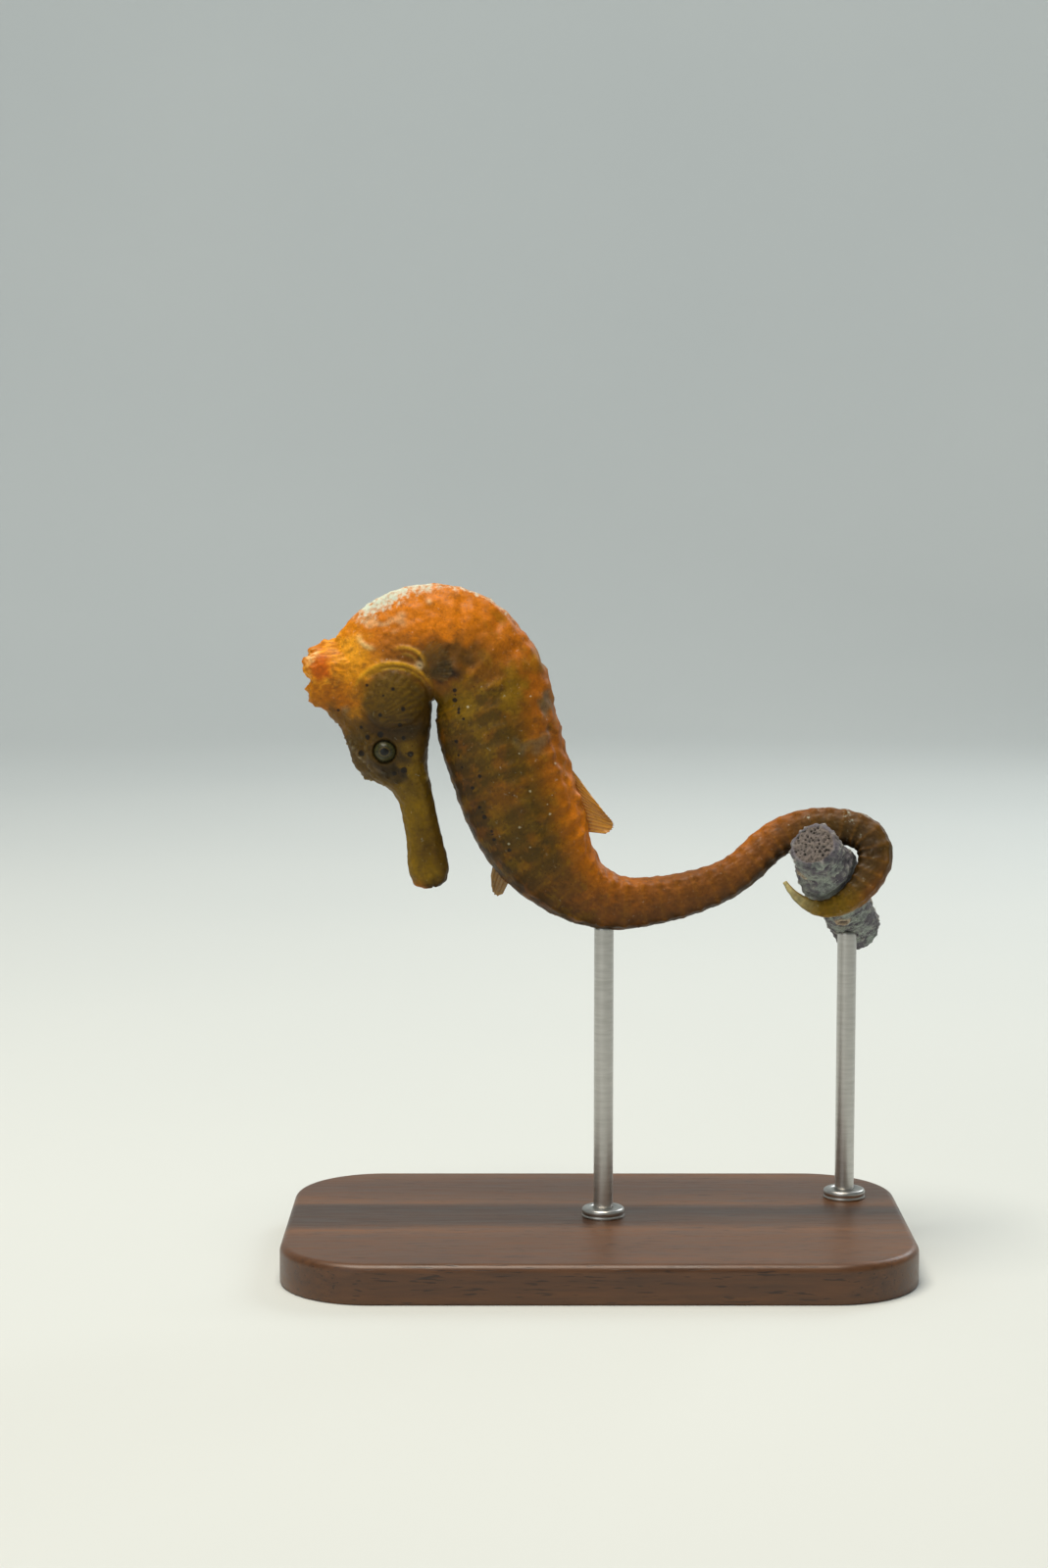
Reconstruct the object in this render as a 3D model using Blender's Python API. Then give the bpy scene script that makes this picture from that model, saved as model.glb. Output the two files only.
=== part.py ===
"""Seahorse, life size, as a still museum model: it grips a cut length of sponge branch, on a plain stand.

The body is one chain of arcs seen from the side. Sections stand across that axis, and every length of the
body is the skin between two of them. Lengths are in millimetres until a mesh is made; MM turns them to metres.
+X runs from the crown towards the tail, +Z is up, and the animal's left side faces -Y.
"""

import bmesh
import bpy
import numpy as np

MM = 0.001
GAP = 0.3  # clearance between pieces that touch
SHARP_ANGLE = 40  # edges that turn by more degrees than this stay crisp

# The axis of the body, from the mouth to the tip of the tail.
MOUTH = np.array([-25.5, 0.0, 57.6])
MOUTH_HEADING = 98.5  # degrees above +X
AXIS_ARCS = (  # name, length, turn in degrees (positive turns it towards the back)
    ("snout", 15.8, 0),
    ("head", 12.9, 3),
    ("nape", 5.2, -60),
    ("neck", 7.0, -60),
    ("shoulder", 9.4, -58),
    ("chest", 8.0, 2),
    ("belly", 9.0, 7),
    ("loin", 7.3, 11),
    ("rump", 4.5, 12),
    ("tail_root", 12.0, 51),
    ("tail_middle", 11.6, 13),
    ("tail_rise", 8.4, 27),
    ("coil_over", 16.6, -62),
    ("coil_shoulder", 6.0, -94),
    ("coil_side", 9.2, -50),
    ("coil_under", 4.2, -48),
    ("tip", 4.8, -34),
)
AXIS_STEP = 0.1
CURVE_SOFTENING = 2.5  # length over which one arc passes into the next
BODY_LENGTH = sum(length for _, length, _ in AXIS_ARCS)

# Section sizes: distance from the mouth, reach to the back, reach to the belly, half width.
GIRTH = (
    ("lips", 0.0, 1.3, 1.3, 1.2),
    ("snout flare", 0.8, 2.6, 2.5, 1.9),
    ("snout end", 3.0, 3.0, 3.1, 2.1),
    ("snout waist", 8.0, 2.5, 2.7, 1.9),
    ("snout base", 13.0, 2.7, 2.4, 2.1),
    ("stop", 15.5, 3.7, 2.3, 2.6),
    ("forehead", 18.0, 6.7, 2.0, 3.5),
    ("brow", 20.5, 8.8, 2.2, 4.3),
    ("cheek", 23.5, 9.2, 2.8, 4.8),
    ("gill cover", 27.0, 9.9, 3.6, 5.3),
    ("crown", 30.5, 12.4, 4.3, 5.3),
    ("nape", 35.0, 12.5, 4.7, 4.7),
    ("neck", 41.0, 11.7, 5.8, 4.6),
    ("shoulder", 46.0, 9.9, 7.2, 5.1),
    ("chest", 51.0, 9.1, 8.5, 5.8),
    ("belly", 58.0, 9.0, 9.0, 6.3),
    ("flank", 64.0, 8.9, 8.9, 6.5),
    ("loin", 70.0, 8.4, 8.4, 6.1),
    ("vent", 74.6, 7.5, 7.5, 5.3),
    ("tail root", 79.1, 6.0, 6.0, 4.4),
    ("tail", 84.5, 4.7, 4.7, 3.7),
    ("tail", 91.0, 3.8, 3.8, 3.1),
    ("tail", 99.0, 3.3, 3.3, 2.8),
    ("tail", 108.0, 2.85, 2.85, 2.5),
    ("coil top", 119.0, 2.75, 2.75, 2.3),
    ("coil side", 132.0, 2.6, 2.6, 2.1),
    ("coil foot", 140.0, 1.9, 1.9, 1.6),
    ("tail end", 144.5, 1.3, 1.3, 1.1),
    ("tail end", 148.5, 0.75, 0.75, 0.7),
    ("tip", BODY_LENGTH, 0.3, 0.3, 0.3),
)

# Bony rings: hoops across the body, with a low knob where a hoop meets a ridge.
FIRST_RING = 41.0
TRUNK_RING = 3.0
TAIL_RING_FIRST, TAIL_RING_LAST = 3.2, 1.5
VENT = 71.0  # trunk rings end and tail rings start here
HOOP_HEIGHT = 0.28
KNOB_HEIGHT = 0.42

# The coil leans, so that its top passes behind the branch and its foot in front.
COIL_LEAN_X, COIL_LEAN_Z = -0.16, 0.34  # sideways shift for each mm right of and above the coil's middle
COIL_START, COIL_FULL = 96.0, 116.0
TIP_FORWARD = 2.0

# Cuts between the lengths of the body, as distances from the mouth.
BODY_CUTS = (
    ("snout", 0.0, 16.0),
    ("head", 16.0, 37.6),
    ("neck", 37.6, 47.0),
    ("trunk_front", 47.0, 61.0),
    ("trunk_rear", 61.0, 74.2),
    ("tail_root", 74.2, 89.5),
    ("tail_middle", 89.5, 103.0),
    ("tail_reach", 103.0, 115.5),
    ("tail_coil_over", 115.5, 128.5),
    ("tail_coil_side", 128.5, 139.5),
    ("tail_tip", 139.5, BODY_LENGTH),
)
HEAD_SIDES, BODY_SIDES = 24, 16
HEAD_SECTIONS = 15
SMOOTH_NODES = ("snout", "head")
BENT_NODES = ("neck", "tail_root")  # these take twice as many sections

EYE_ALONG, EYE_UP, EYE_OUT, EYE_RADIUS = 22.2, 3.6, 3.15, 1.95
EYE_CLEARANCE = 0.3

GILL_ALONG, GILL_UP = 29.3, 1.8
GILL_RADIUS, GILL_BULGE = 5.4, 0.75

CROWN_ALONG = 30.7
CROWN_LENGTH, CROWN_WIDTH, CROWN_LOBES = 10.6, 5.6, 5
CROWN_TIERS = (  # height over the foot, shares of the length and width there, shift towards the nape
    (-2.6, 1.0, 1.0, -0.8),
    (-0.4, 1.0, 1.0, 0.0),
    (0.8, 0.86, 0.93, 0.1),
    (1.9, 0.6, 0.78, 0.6),
    (3.1, 0.28, 0.5, 0.9),
)

DORSAL_FIN_START, DORSAL_FIN_END = 63.0, 75.0
DORSAL_FIN_RAYS, DORSAL_FIN_LEAN = (3.2, 4.8, 2.6), (70, 40)
ANAL_FIN_START, ANAL_FIN_END = 71.6, 74.6
ANAL_FIN_RAYS, ANAL_FIN_LEAN = (1.6, 2.6, 1.8), (50, 30)
PECTORAL_ALONG, PECTORAL_BASE, PECTORAL_LENGTH = 36.2, 3.0, 5.2
PECTORAL_SPREAD, PECTORAL_FLARE = 30, 28
FIN_THICKNESS = 0.6

PERCH_DIRECTION = np.array([0.30, 0.80, -0.52])  # away from the viewer, down and right
PERCH_RADIUS, PERCH_BUMPS = 3.7, 0.15
PERCH_SHIFT = np.array([0.3, 0.0, -0.7])  # from the coil's middle to the branch
PERCH_NEAR, PERCH_FAR = 9.5, 23.0

BASE_LENGTH, BASE_DEPTH, BASE_THICKNESS, BASE_CORNER, BASE_EDGE = 96.0, 58.0, 6.0, 14.0, 1.2
ROD_RADIUS, ROD_SIDES = 1.5, 24
PERCH_ROD_ALONG = 15.0
BODY_ROD_X = 1.0


def make_axis():
    """Distances, points and headings along the axis, integrated from the arcs with their joins softened."""
    along = np.arange(0.0, BODY_LENGTH + AXIS_STEP, AXIS_STEP)
    ends = np.cumsum([0.0] + [length for _, length, _ in AXIS_ARCS])
    bend = np.zeros_like(along)
    for (_, length, turn), start, end in zip(AXIS_ARCS, ends, ends[1:]):
        bend[(along >= start) & (along <= end + AXIS_STEP)] = np.radians(turn) / length
    reach = int(CURVE_SOFTENING / AXIS_STEP)
    weights = np.hanning(reach + 2)[1:-1]
    bend = np.convolve(np.pad(bend, reach, "edge"), weights / weights.sum(), "same")[reach:-reach]
    heading = np.radians(MOUTH_HEADING) + np.concatenate([[0], np.cumsum(bend[1:] + bend[:-1]) * AXIS_STEP / 2])
    middle = (heading[1:] + heading[:-1]) / 2
    points = np.zeros((len(along), 3))
    points[1:, 0] = np.cumsum(np.cos(middle)) * AXIS_STEP
    points[1:, 2] = np.cumsum(np.sin(middle)) * AXIS_STEP
    return along, points + MOUTH, heading


def smooth_step(value, low, high):
    """0 below low, 1 above high, and an even S between."""
    share = np.clip((value - low) / (high - low), 0, 1)
    return share * share * (3 - 2 * share)


def make_frames():
    """The axis in space, with the coil leaning, and at each point its direction, left side and back side."""
    along, points, heading = make_axis()
    top = points[np.argmin(abs(heading) + 9 * (along < COIL_FULL))]
    foot = points[np.argmin(abs(heading + np.pi) + 9 * (along < COIL_FULL))]
    coil_middle = (top + foot) / 2
    lean = smooth_step(along, COIL_START, COIL_FULL)
    sideways = COIL_LEAN_X * (points[:, 0] - coil_middle[0]) + COIL_LEAN_Z * (points[:, 2] - coil_middle[2])
    points[:, 1] = lean * sideways - TIP_FORWARD * smooth_step(along, COIL_FULL, BODY_LENGTH)
    direction = np.gradient(points, along, axis=0)
    direction /= np.linalg.norm(direction, axis=1)[:, None]
    right = np.column_stack([-COIL_LEAN_X * lean, np.ones_like(lean), -COIL_LEAN_Z * lean])
    right -= (right * direction).sum(1)[:, None] * direction
    right /= np.linalg.norm(right, axis=1)[:, None]
    return along, points, direction, right, np.cross(direction, right), coil_middle


ALONG, AXIS, DIRECTION, RIGHT, BACK, COIL_MIDDLE = make_frames()


def at(values, distance):
    """values of the axis, read at a distance from the mouth."""
    if values.ndim == 1:
        return np.interp(distance, ALONG, values)
    return np.array([np.interp(distance, ALONG, column) for column in values.T])


def smooth_through(stations, values, wanted):
    """A curve through the stations that never swings past them (monotone cubic)."""
    steps = np.diff(stations)
    slopes = np.diff(values) / steps
    left, right = slopes[:-1], slopes[1:]
    inner = np.where(left * right > 0, 2 * left * right / np.where(left + right == 0, 1, left + right), 0)
    tangents = np.concatenate([slopes[:1], inner, slopes[-1:]])
    index = np.clip(np.searchsorted(stations, wanted, "right") - 1, 0, len(steps) - 1)
    step, t = steps[index], (wanted - stations[index]) / steps[index]
    return (
        values[index] * (1 + 2 * t) * (1 - t) ** 2
        + tangents[index] * step * t * (1 - t) ** 2
        + values[index + 1] * t * t * (3 - 2 * t)
        + tangents[index + 1] * step * t * t * (t - 1)
    )


def girth(distance):
    """Reach to the back, reach to the belly and half width of the section at a distance from the mouth."""
    table = np.array([row[1:] for row in GIRTH], float)
    return [float(smooth_through(table[:, 0], table[:, column], distance)) for column in (1, 2, 3)]


def ring_spacing(distance):
    return np.interp(distance, [VENT, BODY_LENGTH], [TAIL_RING_FIRST, TAIL_RING_LAST]) if distance > VENT else TRUNK_RING


def ring_distances():
    """Where the bony hoops stand, one after another down the body."""
    found = [FIRST_RING]
    while found[-1] + ring_spacing(found[-1]) < BODY_LENGTH - 1.0:
        found.append(found[-1] + ring_spacing(found[-1]))
    return np.array(found)


RINGS = ring_distances()


def ridge_weight(angle, distance):
    """1 on a ridge: at 45 and 135 degrees all the way, and at 90 and 180 degrees on the trunk only."""
    degrees = abs((np.degrees(angle) + 180) % 360 - 180)
    if np.isclose(degrees, (45, 135), atol=1).any():
        return 1.0
    if np.isclose(degrees, (90, 180), atol=1).any():
        return 1.0 - smooth_step(distance, VENT - 4, VENT + 8)
    return 0.0


def gill_bulge(point):
    """How far the gill cover pushes the side of the head out at a point."""
    centre = at(AXIS, GILL_ALONG) + GILL_UP * at(BACK, GILL_ALONG)
    off = np.hypot(point[0] - centre[0], point[2] - centre[2]) / GILL_RADIUS
    return GILL_BULGE * np.sqrt(max(0.0, 1 - off**2))


def hoop_relief(distance):
    """1 on a hoop and 0 halfway between two, as a cosine, and 0 on the head."""
    nearest = RINGS[np.argmin(abs(RINGS - distance))]
    phase = (distance - nearest) / ring_spacing(nearest)
    return 0.5 + 0.5 * np.cos(2 * np.pi * phase) if abs(phase) < 0.5 else 0.0


def section(distance, sides, shift=0.0, grow=0.0):
    """Points round the body at a distance from the mouth, moved along it by shift and outwards by grow."""
    relief = hoop_relief(distance)
    back, belly, half_width = girth(distance)
    origin = at(AXIS, distance) + shift * at(DIRECTION, distance)
    up, right = at(BACK, distance), at(RIGHT, distance)
    boxy = 1.0 - 0.14 * smooth_step(distance, 44, 60)
    crown = 0.38 * smooth_step(distance, 16, 24) * (1 - smooth_step(distance, 31, 46))
    fade = min(1.0, half_width / 2.0)
    points = []
    for angle in np.arange(sides) * 2 * np.pi / sides:
        c, s = np.cos(angle), np.sin(angle)
        knob = relief * KNOB_HEIGHT * ridge_weight(angle, distance) * fade
        extra = grow + relief * HOOP_HEIGHT * fade + knob
        height = np.sign(c) * abs(c) ** boxy * (back if c > 0 else belly) + extra * c
        width = np.sign(s) * abs(s) ** boxy * half_width * (1 - crown * max(c, 0.0) ** 2) + extra * s
        point = origin + up * height
        if distance < 40:
            width += np.sign(s) * gill_bulge(point) * abs(s)
        points.append(point - right * width)
    return points


def add_object(name, made, place, material):
    """A smooth-shaded object of a bmesh, with its origin at a place in millimetres."""
    bmesh.ops.recalc_face_normals(made, faces=made.faces)
    mesh = bpy.data.meshes.new(name)
    made.to_mesh(mesh)
    made.free()
    mesh.shade_smooth()
    mesh.set_sharp_from_angle(angle=np.radians(SHARP_ANGLE))
    mesh.materials.append(material)
    thing = bpy.data.objects.new(name, mesh)
    thing.location = place * MM
    bpy.context.scene.collection.objects.link(thing)
    return thing


def loft(name, sections, material):
    """A closed solid through rings of points, with a flat cap at each end."""
    place = np.mean(sections, axis=(0, 1))
    made = bmesh.new()
    rings = [[made.verts.new((point - place) * MM) for point in ring] for ring in sections]
    for low, high in zip(rings, rings[1:]):
        for i in range(len(low)):
            j = (i + 1) % len(low)
            made.faces.new((low[i], low[j], high[j], high[i]))
    made.faces.new(rings[0][::-1])
    made.faces.new(rings[-1])
    return add_object(name, made, place, material)


def body_stations(name, start, end):
    """Distances of the sections in one length of the body: the head's are even, the rest follow the hoops."""
    if name == "snout":
        return [0.0, 0.35, 0.8, 1.8, 3.0, 5.5, 8.0, 11.0, 13.5, end]
    if name == "head":
        return np.linspace(start, end, HEAD_SECTIONS)
    share = 0.25 if name in BENT_NODES else 0.5
    index = np.arange(-1, len(RINGS) - 1 + share, share)
    places = np.interp(index, np.arange(-1, len(RINGS)), [FIRST_RING - TRUNK_RING, *RINGS])
    margin = share * ring_spacing(end) / 2
    inside = places[(places > start + margin) & (places < end - margin)]
    return [start, *inside, end]


def body_solid(name, start, end, material):
    """One length of the body, drawn back by half the gap at each cut."""
    sides = HEAD_SIDES if name in SMOOTH_NODES else BODY_SIDES
    shifts = {start: GAP / 2 if start > 0 else 0, end: -GAP / 2 if end < BODY_LENGTH else 0}
    sections = [section(place, sides, shifts.get(place, 0)) for place in body_stations(name, start, end)]
    return loft(name, sections, material)


def eye_centre(side):
    """side is -1 on the animal's left and 1 on its right."""
    return at(AXIS, EYE_ALONG) + EYE_UP * at(BACK, EYE_ALONG) + side * EYE_OUT * at(RIGHT, EYE_ALONG)


def ball(name, centre, radius, material):
    made = bmesh.new()
    bmesh.ops.create_icosphere(made, subdivisions=3, radius=radius * MM)
    return add_object(name, made, centre, material)


def cut_by(thing, cutter):
    """Takes a hidden cutter out of a solid."""
    cutter.hide_render = True
    cutter.display_type = "WIRE"
    cutting = thing.modifiers.new("cut_" + cutter.name, "BOOLEAN")
    cutting.operation = "DIFFERENCE"
    cutting.solver = "EXACT"
    cutting.object = cutter


def add_eyes(head, skin, eye):
    for name, side in (("eye_left", -1), ("eye_right", 1)):
        centre = eye_centre(side)
        ball(name, centre, EYE_RADIUS, eye)
        cut_by(head, ball("socket_" + name, centre, EYE_RADIUS + EYE_CLEARANCE, skin))


def add_coronet(skin):
    """A low crown of rounded lobes on top of the head, its foot cut to sit on the head."""
    back, _, _ = girth(CROWN_ALONG)
    up, forward, right = (at(values, CROWN_ALONG) for values in (BACK, DIRECTION, RIGHT))
    foot = at(AXIS, CROWN_ALONG) + up * back
    sections = []
    for height, long, wide, shift in CROWN_TIERS:
        ring = []
        for angle in np.arange(20) * 2 * np.pi / 20:
            lobe = 1 + 0.13 * np.cos(CROWN_LOBES * angle) * smooth_step(height, -1, 2)
            ring.append(
                foot
                + up * height
                + forward * (CROWN_LENGTH / 2 * long * lobe * np.cos(angle) + shift)
                + right * CROWN_WIDTH / 2 * wide * lobe * np.sin(angle)
            )
        sections.append(ring)
    coronet = loft("coronet", sections, skin)
    places = np.linspace(22.0, 40.0, 13)
    cut_by(coronet, loft("head_clearance", [section(place, HEAD_SIDES, grow=GAP) for place in places], skin))


def fin_along(name, start, end, rays, lean, side, material):
    """A fin on the midline, on the back (side 1) or the belly (side -1).

    rays are the lengths of its first, middle and last ray, and lean the tailward tilt of the first and last.
    """
    sections = []
    for share in np.linspace(0.0, 1.0, 9):
        place = start + share * (end - start)
        up, tailward, right = (at(values, place) for values in (BACK, DIRECTION, RIGHT))
        back, belly, _ = girth(place)
        edge = back if side > 0 else belly
        tilt = np.radians(np.interp(share, [0, 1], lean))
        ray = side * up * np.cos(tilt) + tailward * np.sin(tilt)
        foot = at(AXIS, place) + side * up * (edge + HOOP_HEIGHT + GAP)
        length = np.polyval(np.polyfit([0, 0.5, 1], rays, 2), share)
        half = right * FIN_THICKNESS / 2
        sections.append([foot - half, foot + ray * length - half, foot + ray * length + half, foot + half])
    return loft(name, sections, material)


def pectoral_fin(name, side, material):
    """A small fan behind the gill cover, its rays swept tailwards and away from the body."""
    up, tailward, right = (at(values, PECTORAL_ALONG) for values in (BACK, DIRECTION, RIGHT))
    _, _, half_width = girth(PECTORAL_ALONG)
    outward = side * right
    flare = np.radians(PECTORAL_FLARE)
    root = at(AXIS, PECTORAL_ALONG) + outward * (half_width + GAP + FIN_THICKNESS)
    thick = (outward * np.cos(flare) - tailward * np.sin(flare)) * FIN_THICKNESS / 2
    sections = []
    for share in np.linspace(-1.0, 1.0, 9):
        turn = np.radians(PECTORAL_SPREAD) * share
        ray = np.cos(turn) * (tailward * np.cos(flare) + outward * np.sin(flare)) + np.sin(turn) * up
        start = root + up * share * PECTORAL_BASE / 2
        end = start + ray * PECTORAL_LENGTH * (1 - 0.22 * share**2)
        sections.append([start - thick, end - thick, end + thick, start + thick])
    return loft(name, sections, material)


def perch_frame():
    """Middle of the coil, direction of the branch, and two directions across it."""
    direction = PERCH_DIRECTION / np.linalg.norm(PERCH_DIRECTION)
    across = np.cross(direction, [0, 0, 1.0])
    across /= np.linalg.norm(across)
    return COIL_MIDDLE + PERCH_SHIFT, direction, across, np.cross(across, direction)


def add_perch(sponge):
    """The short cut length of branch in the grip of the tail, slightly lumpy, with rounded ends."""
    middle, direction, across, above = perch_frame()
    length = PERCH_NEAR + PERCH_FAR
    sections = []
    for share in (0.0, 0.02, 0.06, *np.linspace(0.14, 0.86, 9), 0.94, 0.98, 1.0):
        end_round = 1 - 0.35 * max(0.0, abs(2 * share - 1) - 0.9) / 0.1
        ring = []
        for angle in np.arange(18) * 2 * np.pi / 18:
            lumps = PERCH_BUMPS * np.sin(3 * angle + 9 * share) * np.cos(2 * angle - 21 * share)
            reach = PERCH_RADIUS * end_round + lumps
            spot = middle + direction * (share * length - PERCH_NEAR)
            ring.append(spot + reach * (np.cos(angle) * across + np.sin(angle) * above))
        sections.append(ring)
    return loft("perch", sections, sponge)


def add_base(wood):
    """A flat plate with round corners and softened edges."""
    sections = []
    for height, inset in ((0, 0.4), (0.4, 0), (BASE_THICKNESS - BASE_EDGE, 0), (BASE_THICKNESS, BASE_EDGE)):
        outline = []
        for sign_x, sign_y, start in ((1, 1, 0), (-1, 1, 90), (-1, -1, 180), (1, -1, 270)):
            for turn in np.radians(start + np.linspace(0, 90, 9)):
                x = sign_x * (BASE_LENGTH / 2 - BASE_CORNER) + (BASE_CORNER - inset) * np.cos(turn)
                y = sign_y * (BASE_DEPTH / 2 - BASE_CORNER) + (BASE_CORNER - inset) * np.sin(turn)
                outline.append(np.array([x, y, height]))
        sections.append(outline)
    return loft("stand_base", sections, wood)


def rod(name, x, y, top, metal):
    """An upright round rod from the base to a height."""
    sections = []
    for height in (BASE_THICKNESS + GAP, top):
        ring = []
        for angle in np.arange(ROD_SIDES) * 2 * np.pi / ROD_SIDES:
            ring.append(np.array([x + ROD_RADIUS * np.cos(angle), y + ROD_RADIUS * np.sin(angle), height]))
        sections.append(ring)
    return loft(name, sections, metal)


def add_rods(skin, metal):
    """One rod under the perch and one under the root of the tail, each top cut to what it carries."""
    middle, direction, across, above = perch_frame()
    spot = middle + direction * PERCH_ROD_ALONG
    perch_rod = rod("stand_rod_perch", spot[0], spot[1], spot[2], metal)
    sections = []
    for place in (-6.0, 6.0):
        ring = []
        for angle in np.arange(32) * 2 * np.pi / 32:
            reach = (PERCH_RADIUS + PERCH_BUMPS + GAP) * (np.cos(angle) * across + np.sin(angle) * above)
            ring.append(spot + direction * place + reach)
        sections.append(ring)
    cut_by(perch_rod, loft("perch_clearance", sections, metal))

    under = AXIS[:, 2] + 99 * (abs(AXIS[:, 0] - BODY_ROD_X) > 1.0) + 99 * (ALONG < VENT)
    place = ALONG[np.argmin(under)]
    body_rod = rod("stand_rod_body", BODY_ROD_X, 0.0, at(AXIS, place)[2], metal)
    places = place + np.linspace(-6, 6, 13)
    cut_by(body_rod, loft("tail_clearance", [section(p, BODY_SIDES, grow=GAP) for p in places], metal))


def material(name, colour, roughness, metallic=0.0):
    made = bpy.data.materials.new(name)
    made.use_nodes = True
    shader = made.node_tree.nodes["Principled BSDF"]
    shader.inputs["Base Color"].default_value = (*colour, 1)
    shader.inputs["Roughness"].default_value = roughness
    shader.inputs["Metallic"].default_value = metallic
    return made


def main():
    for thing in list(bpy.data.objects):
        bpy.data.objects.remove(thing)
    skin = material("orange_skin", (0.62, 0.20, 0.03), 0.5)
    fin = material("fin_membrane", (0.60, 0.30, 0.08), 0.4)
    eye = material("eye_cornea", (0.06, 0.05, 0.03), 0.1)
    sponge = material("branch_sponge", (0.20, 0.17, 0.20), 0.85)
    wood = material("stand_board", (0.05, 0.03, 0.02), 0.35)
    metal = material("stand_rod", (0.55, 0.53, 0.50), 0.3, 1.0)

    solids = {name: body_solid(name, start, end, skin) for name, start, end in BODY_CUTS}
    add_eyes(solids["head"], skin, eye)
    add_coronet(skin)
    fin_along("dorsal_fin", DORSAL_FIN_START, DORSAL_FIN_END, DORSAL_FIN_RAYS, DORSAL_FIN_LEAN, 1, fin)
    fin_along("anal_fin", ANAL_FIN_START, ANAL_FIN_END, ANAL_FIN_RAYS, ANAL_FIN_LEAN, -1, fin)
    pectoral_fin("pectoral_fin_left", -1, fin)
    pectoral_fin("pectoral_fin_right", 1, fin)
    add_perch(sponge)
    add_base(wood)
    add_rods(skin, metal)


main()
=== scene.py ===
"""Looks of the still seahorse model: one skin over the whole animal, its eyes and rayed fins, the sponge
branch in the grip of its tail, and the display stand.

Shapes are worked out in millimetres, and MM turns them to metres when a mesh is made. +X runs from the crown
towards the tail, +Z is up, and the animal's left side faces -Y. `along` is the distance from the mouth down
the body, and `around` the angle round it: 0 on the back, 90 degrees on the left side, 180 on the belly.
"""

import bpy
import numpy as np
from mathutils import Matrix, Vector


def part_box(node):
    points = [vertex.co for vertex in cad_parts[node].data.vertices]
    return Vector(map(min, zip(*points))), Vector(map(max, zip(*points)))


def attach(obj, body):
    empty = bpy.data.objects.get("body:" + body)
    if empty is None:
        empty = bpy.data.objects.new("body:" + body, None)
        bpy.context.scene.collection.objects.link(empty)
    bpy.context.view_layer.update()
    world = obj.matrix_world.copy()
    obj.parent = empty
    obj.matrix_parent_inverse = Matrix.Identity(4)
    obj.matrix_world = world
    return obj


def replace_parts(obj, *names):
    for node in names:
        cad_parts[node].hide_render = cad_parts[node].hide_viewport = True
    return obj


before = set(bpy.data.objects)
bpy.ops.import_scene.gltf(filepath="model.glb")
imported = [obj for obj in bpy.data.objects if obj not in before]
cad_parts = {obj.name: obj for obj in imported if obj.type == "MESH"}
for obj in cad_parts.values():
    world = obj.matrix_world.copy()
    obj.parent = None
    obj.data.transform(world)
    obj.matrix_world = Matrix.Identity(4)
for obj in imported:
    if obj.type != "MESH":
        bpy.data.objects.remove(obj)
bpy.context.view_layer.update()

MM = 0.001
TURN = 2 * np.pi

# --- The body's line and girth, as the solids have them -------------------------------------------

MOUTH = np.array([-25.5, 0.0, 57.6])
MOUTH_HEADING = 98.5  # degrees above +X
AXIS_ARCS = (  # name, length, turn in degrees (positive turns it towards the back)
    ("snout", 15.8, 0),
    ("head", 12.9, 3),
    ("nape", 5.2, -60),
    ("neck", 7.0, -60),
    ("shoulder", 9.4, -58),
    ("chest", 8.0, 2),
    ("belly", 9.0, 7),
    ("loin", 7.3, 11),
    ("rump", 4.5, 12),
    ("tail_root", 12.0, 51),
    ("tail_middle", 11.6, 13),
    ("tail_rise", 8.4, 27),
    ("coil_over", 16.6, -62),
    ("coil_shoulder", 6.0, -94),
    ("coil_side", 9.2, -50),
    ("coil_under", 4.2, -48),
    ("tip", 4.8, -34),
)
AXIS_STEP = 0.1
CURVE_SOFTENING = 2.5  # length over which one arc passes into the next
BODY_LENGTH = sum(length for _, length, _ in AXIS_ARCS)

# Section sizes: distance from the mouth, reach to the back, reach to the belly, half width.
GIRTH = (
    ("lips", 0.0, 1.3, 1.3, 1.2),
    ("snout flare", 0.8, 2.6, 2.5, 1.9),
    ("snout end", 3.0, 3.0, 3.1, 2.1),
    ("snout waist", 8.0, 2.5, 2.7, 1.9),
    ("snout base", 13.0, 2.7, 2.4, 2.1),
    ("stop", 15.5, 3.7, 2.3, 2.6),
    ("forehead", 18.0, 6.7, 2.0, 3.5),
    ("brow", 20.5, 8.8, 2.2, 4.3),
    ("cheek", 23.5, 9.2, 2.8, 4.8),
    ("gill cover", 27.0, 9.9, 3.6, 5.3),
    ("crown", 30.5, 12.4, 4.3, 5.3),
    ("nape", 35.0, 12.5, 4.7, 4.7),
    ("neck", 41.0, 11.7, 5.8, 4.6),
    ("shoulder", 46.0, 9.9, 7.2, 5.1),
    ("chest", 51.0, 9.1, 8.5, 5.8),
    ("belly", 58.0, 9.0, 9.0, 6.3),
    ("flank", 64.0, 8.9, 8.9, 6.5),
    ("loin", 70.0, 8.4, 8.4, 6.1),
    ("vent", 74.6, 7.5, 7.5, 5.3),
    ("tail root", 79.1, 6.0, 6.0, 4.4),
    ("tail", 84.5, 4.7, 4.7, 3.7),
    ("tail", 91.0, 3.8, 3.8, 3.1),
    ("tail", 99.0, 3.3, 3.3, 2.8),
    ("tail", 108.0, 2.85, 2.85, 2.5),
    ("coil top", 119.0, 2.75, 2.75, 2.3),
    ("coil side", 132.0, 2.6, 2.6, 2.1),
    ("coil foot", 140.0, 1.9, 1.9, 1.6),
    ("tail end", 144.5, 1.3, 1.3, 1.1),
    ("tail end", 148.5, 0.75, 0.75, 0.7),
    ("tip", BODY_LENGTH, 0.3, 0.3, 0.3),
)
BODY_SQUARENESS, HEAD_NARROWING = 0.14, 0.38  # how square the sections are, and how much narrower at the top
COIL_LEAN_X, COIL_LEAN_Z = -0.16, 0.34
COIL_START, COIL_FULL = 96.0, 116.0
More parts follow.
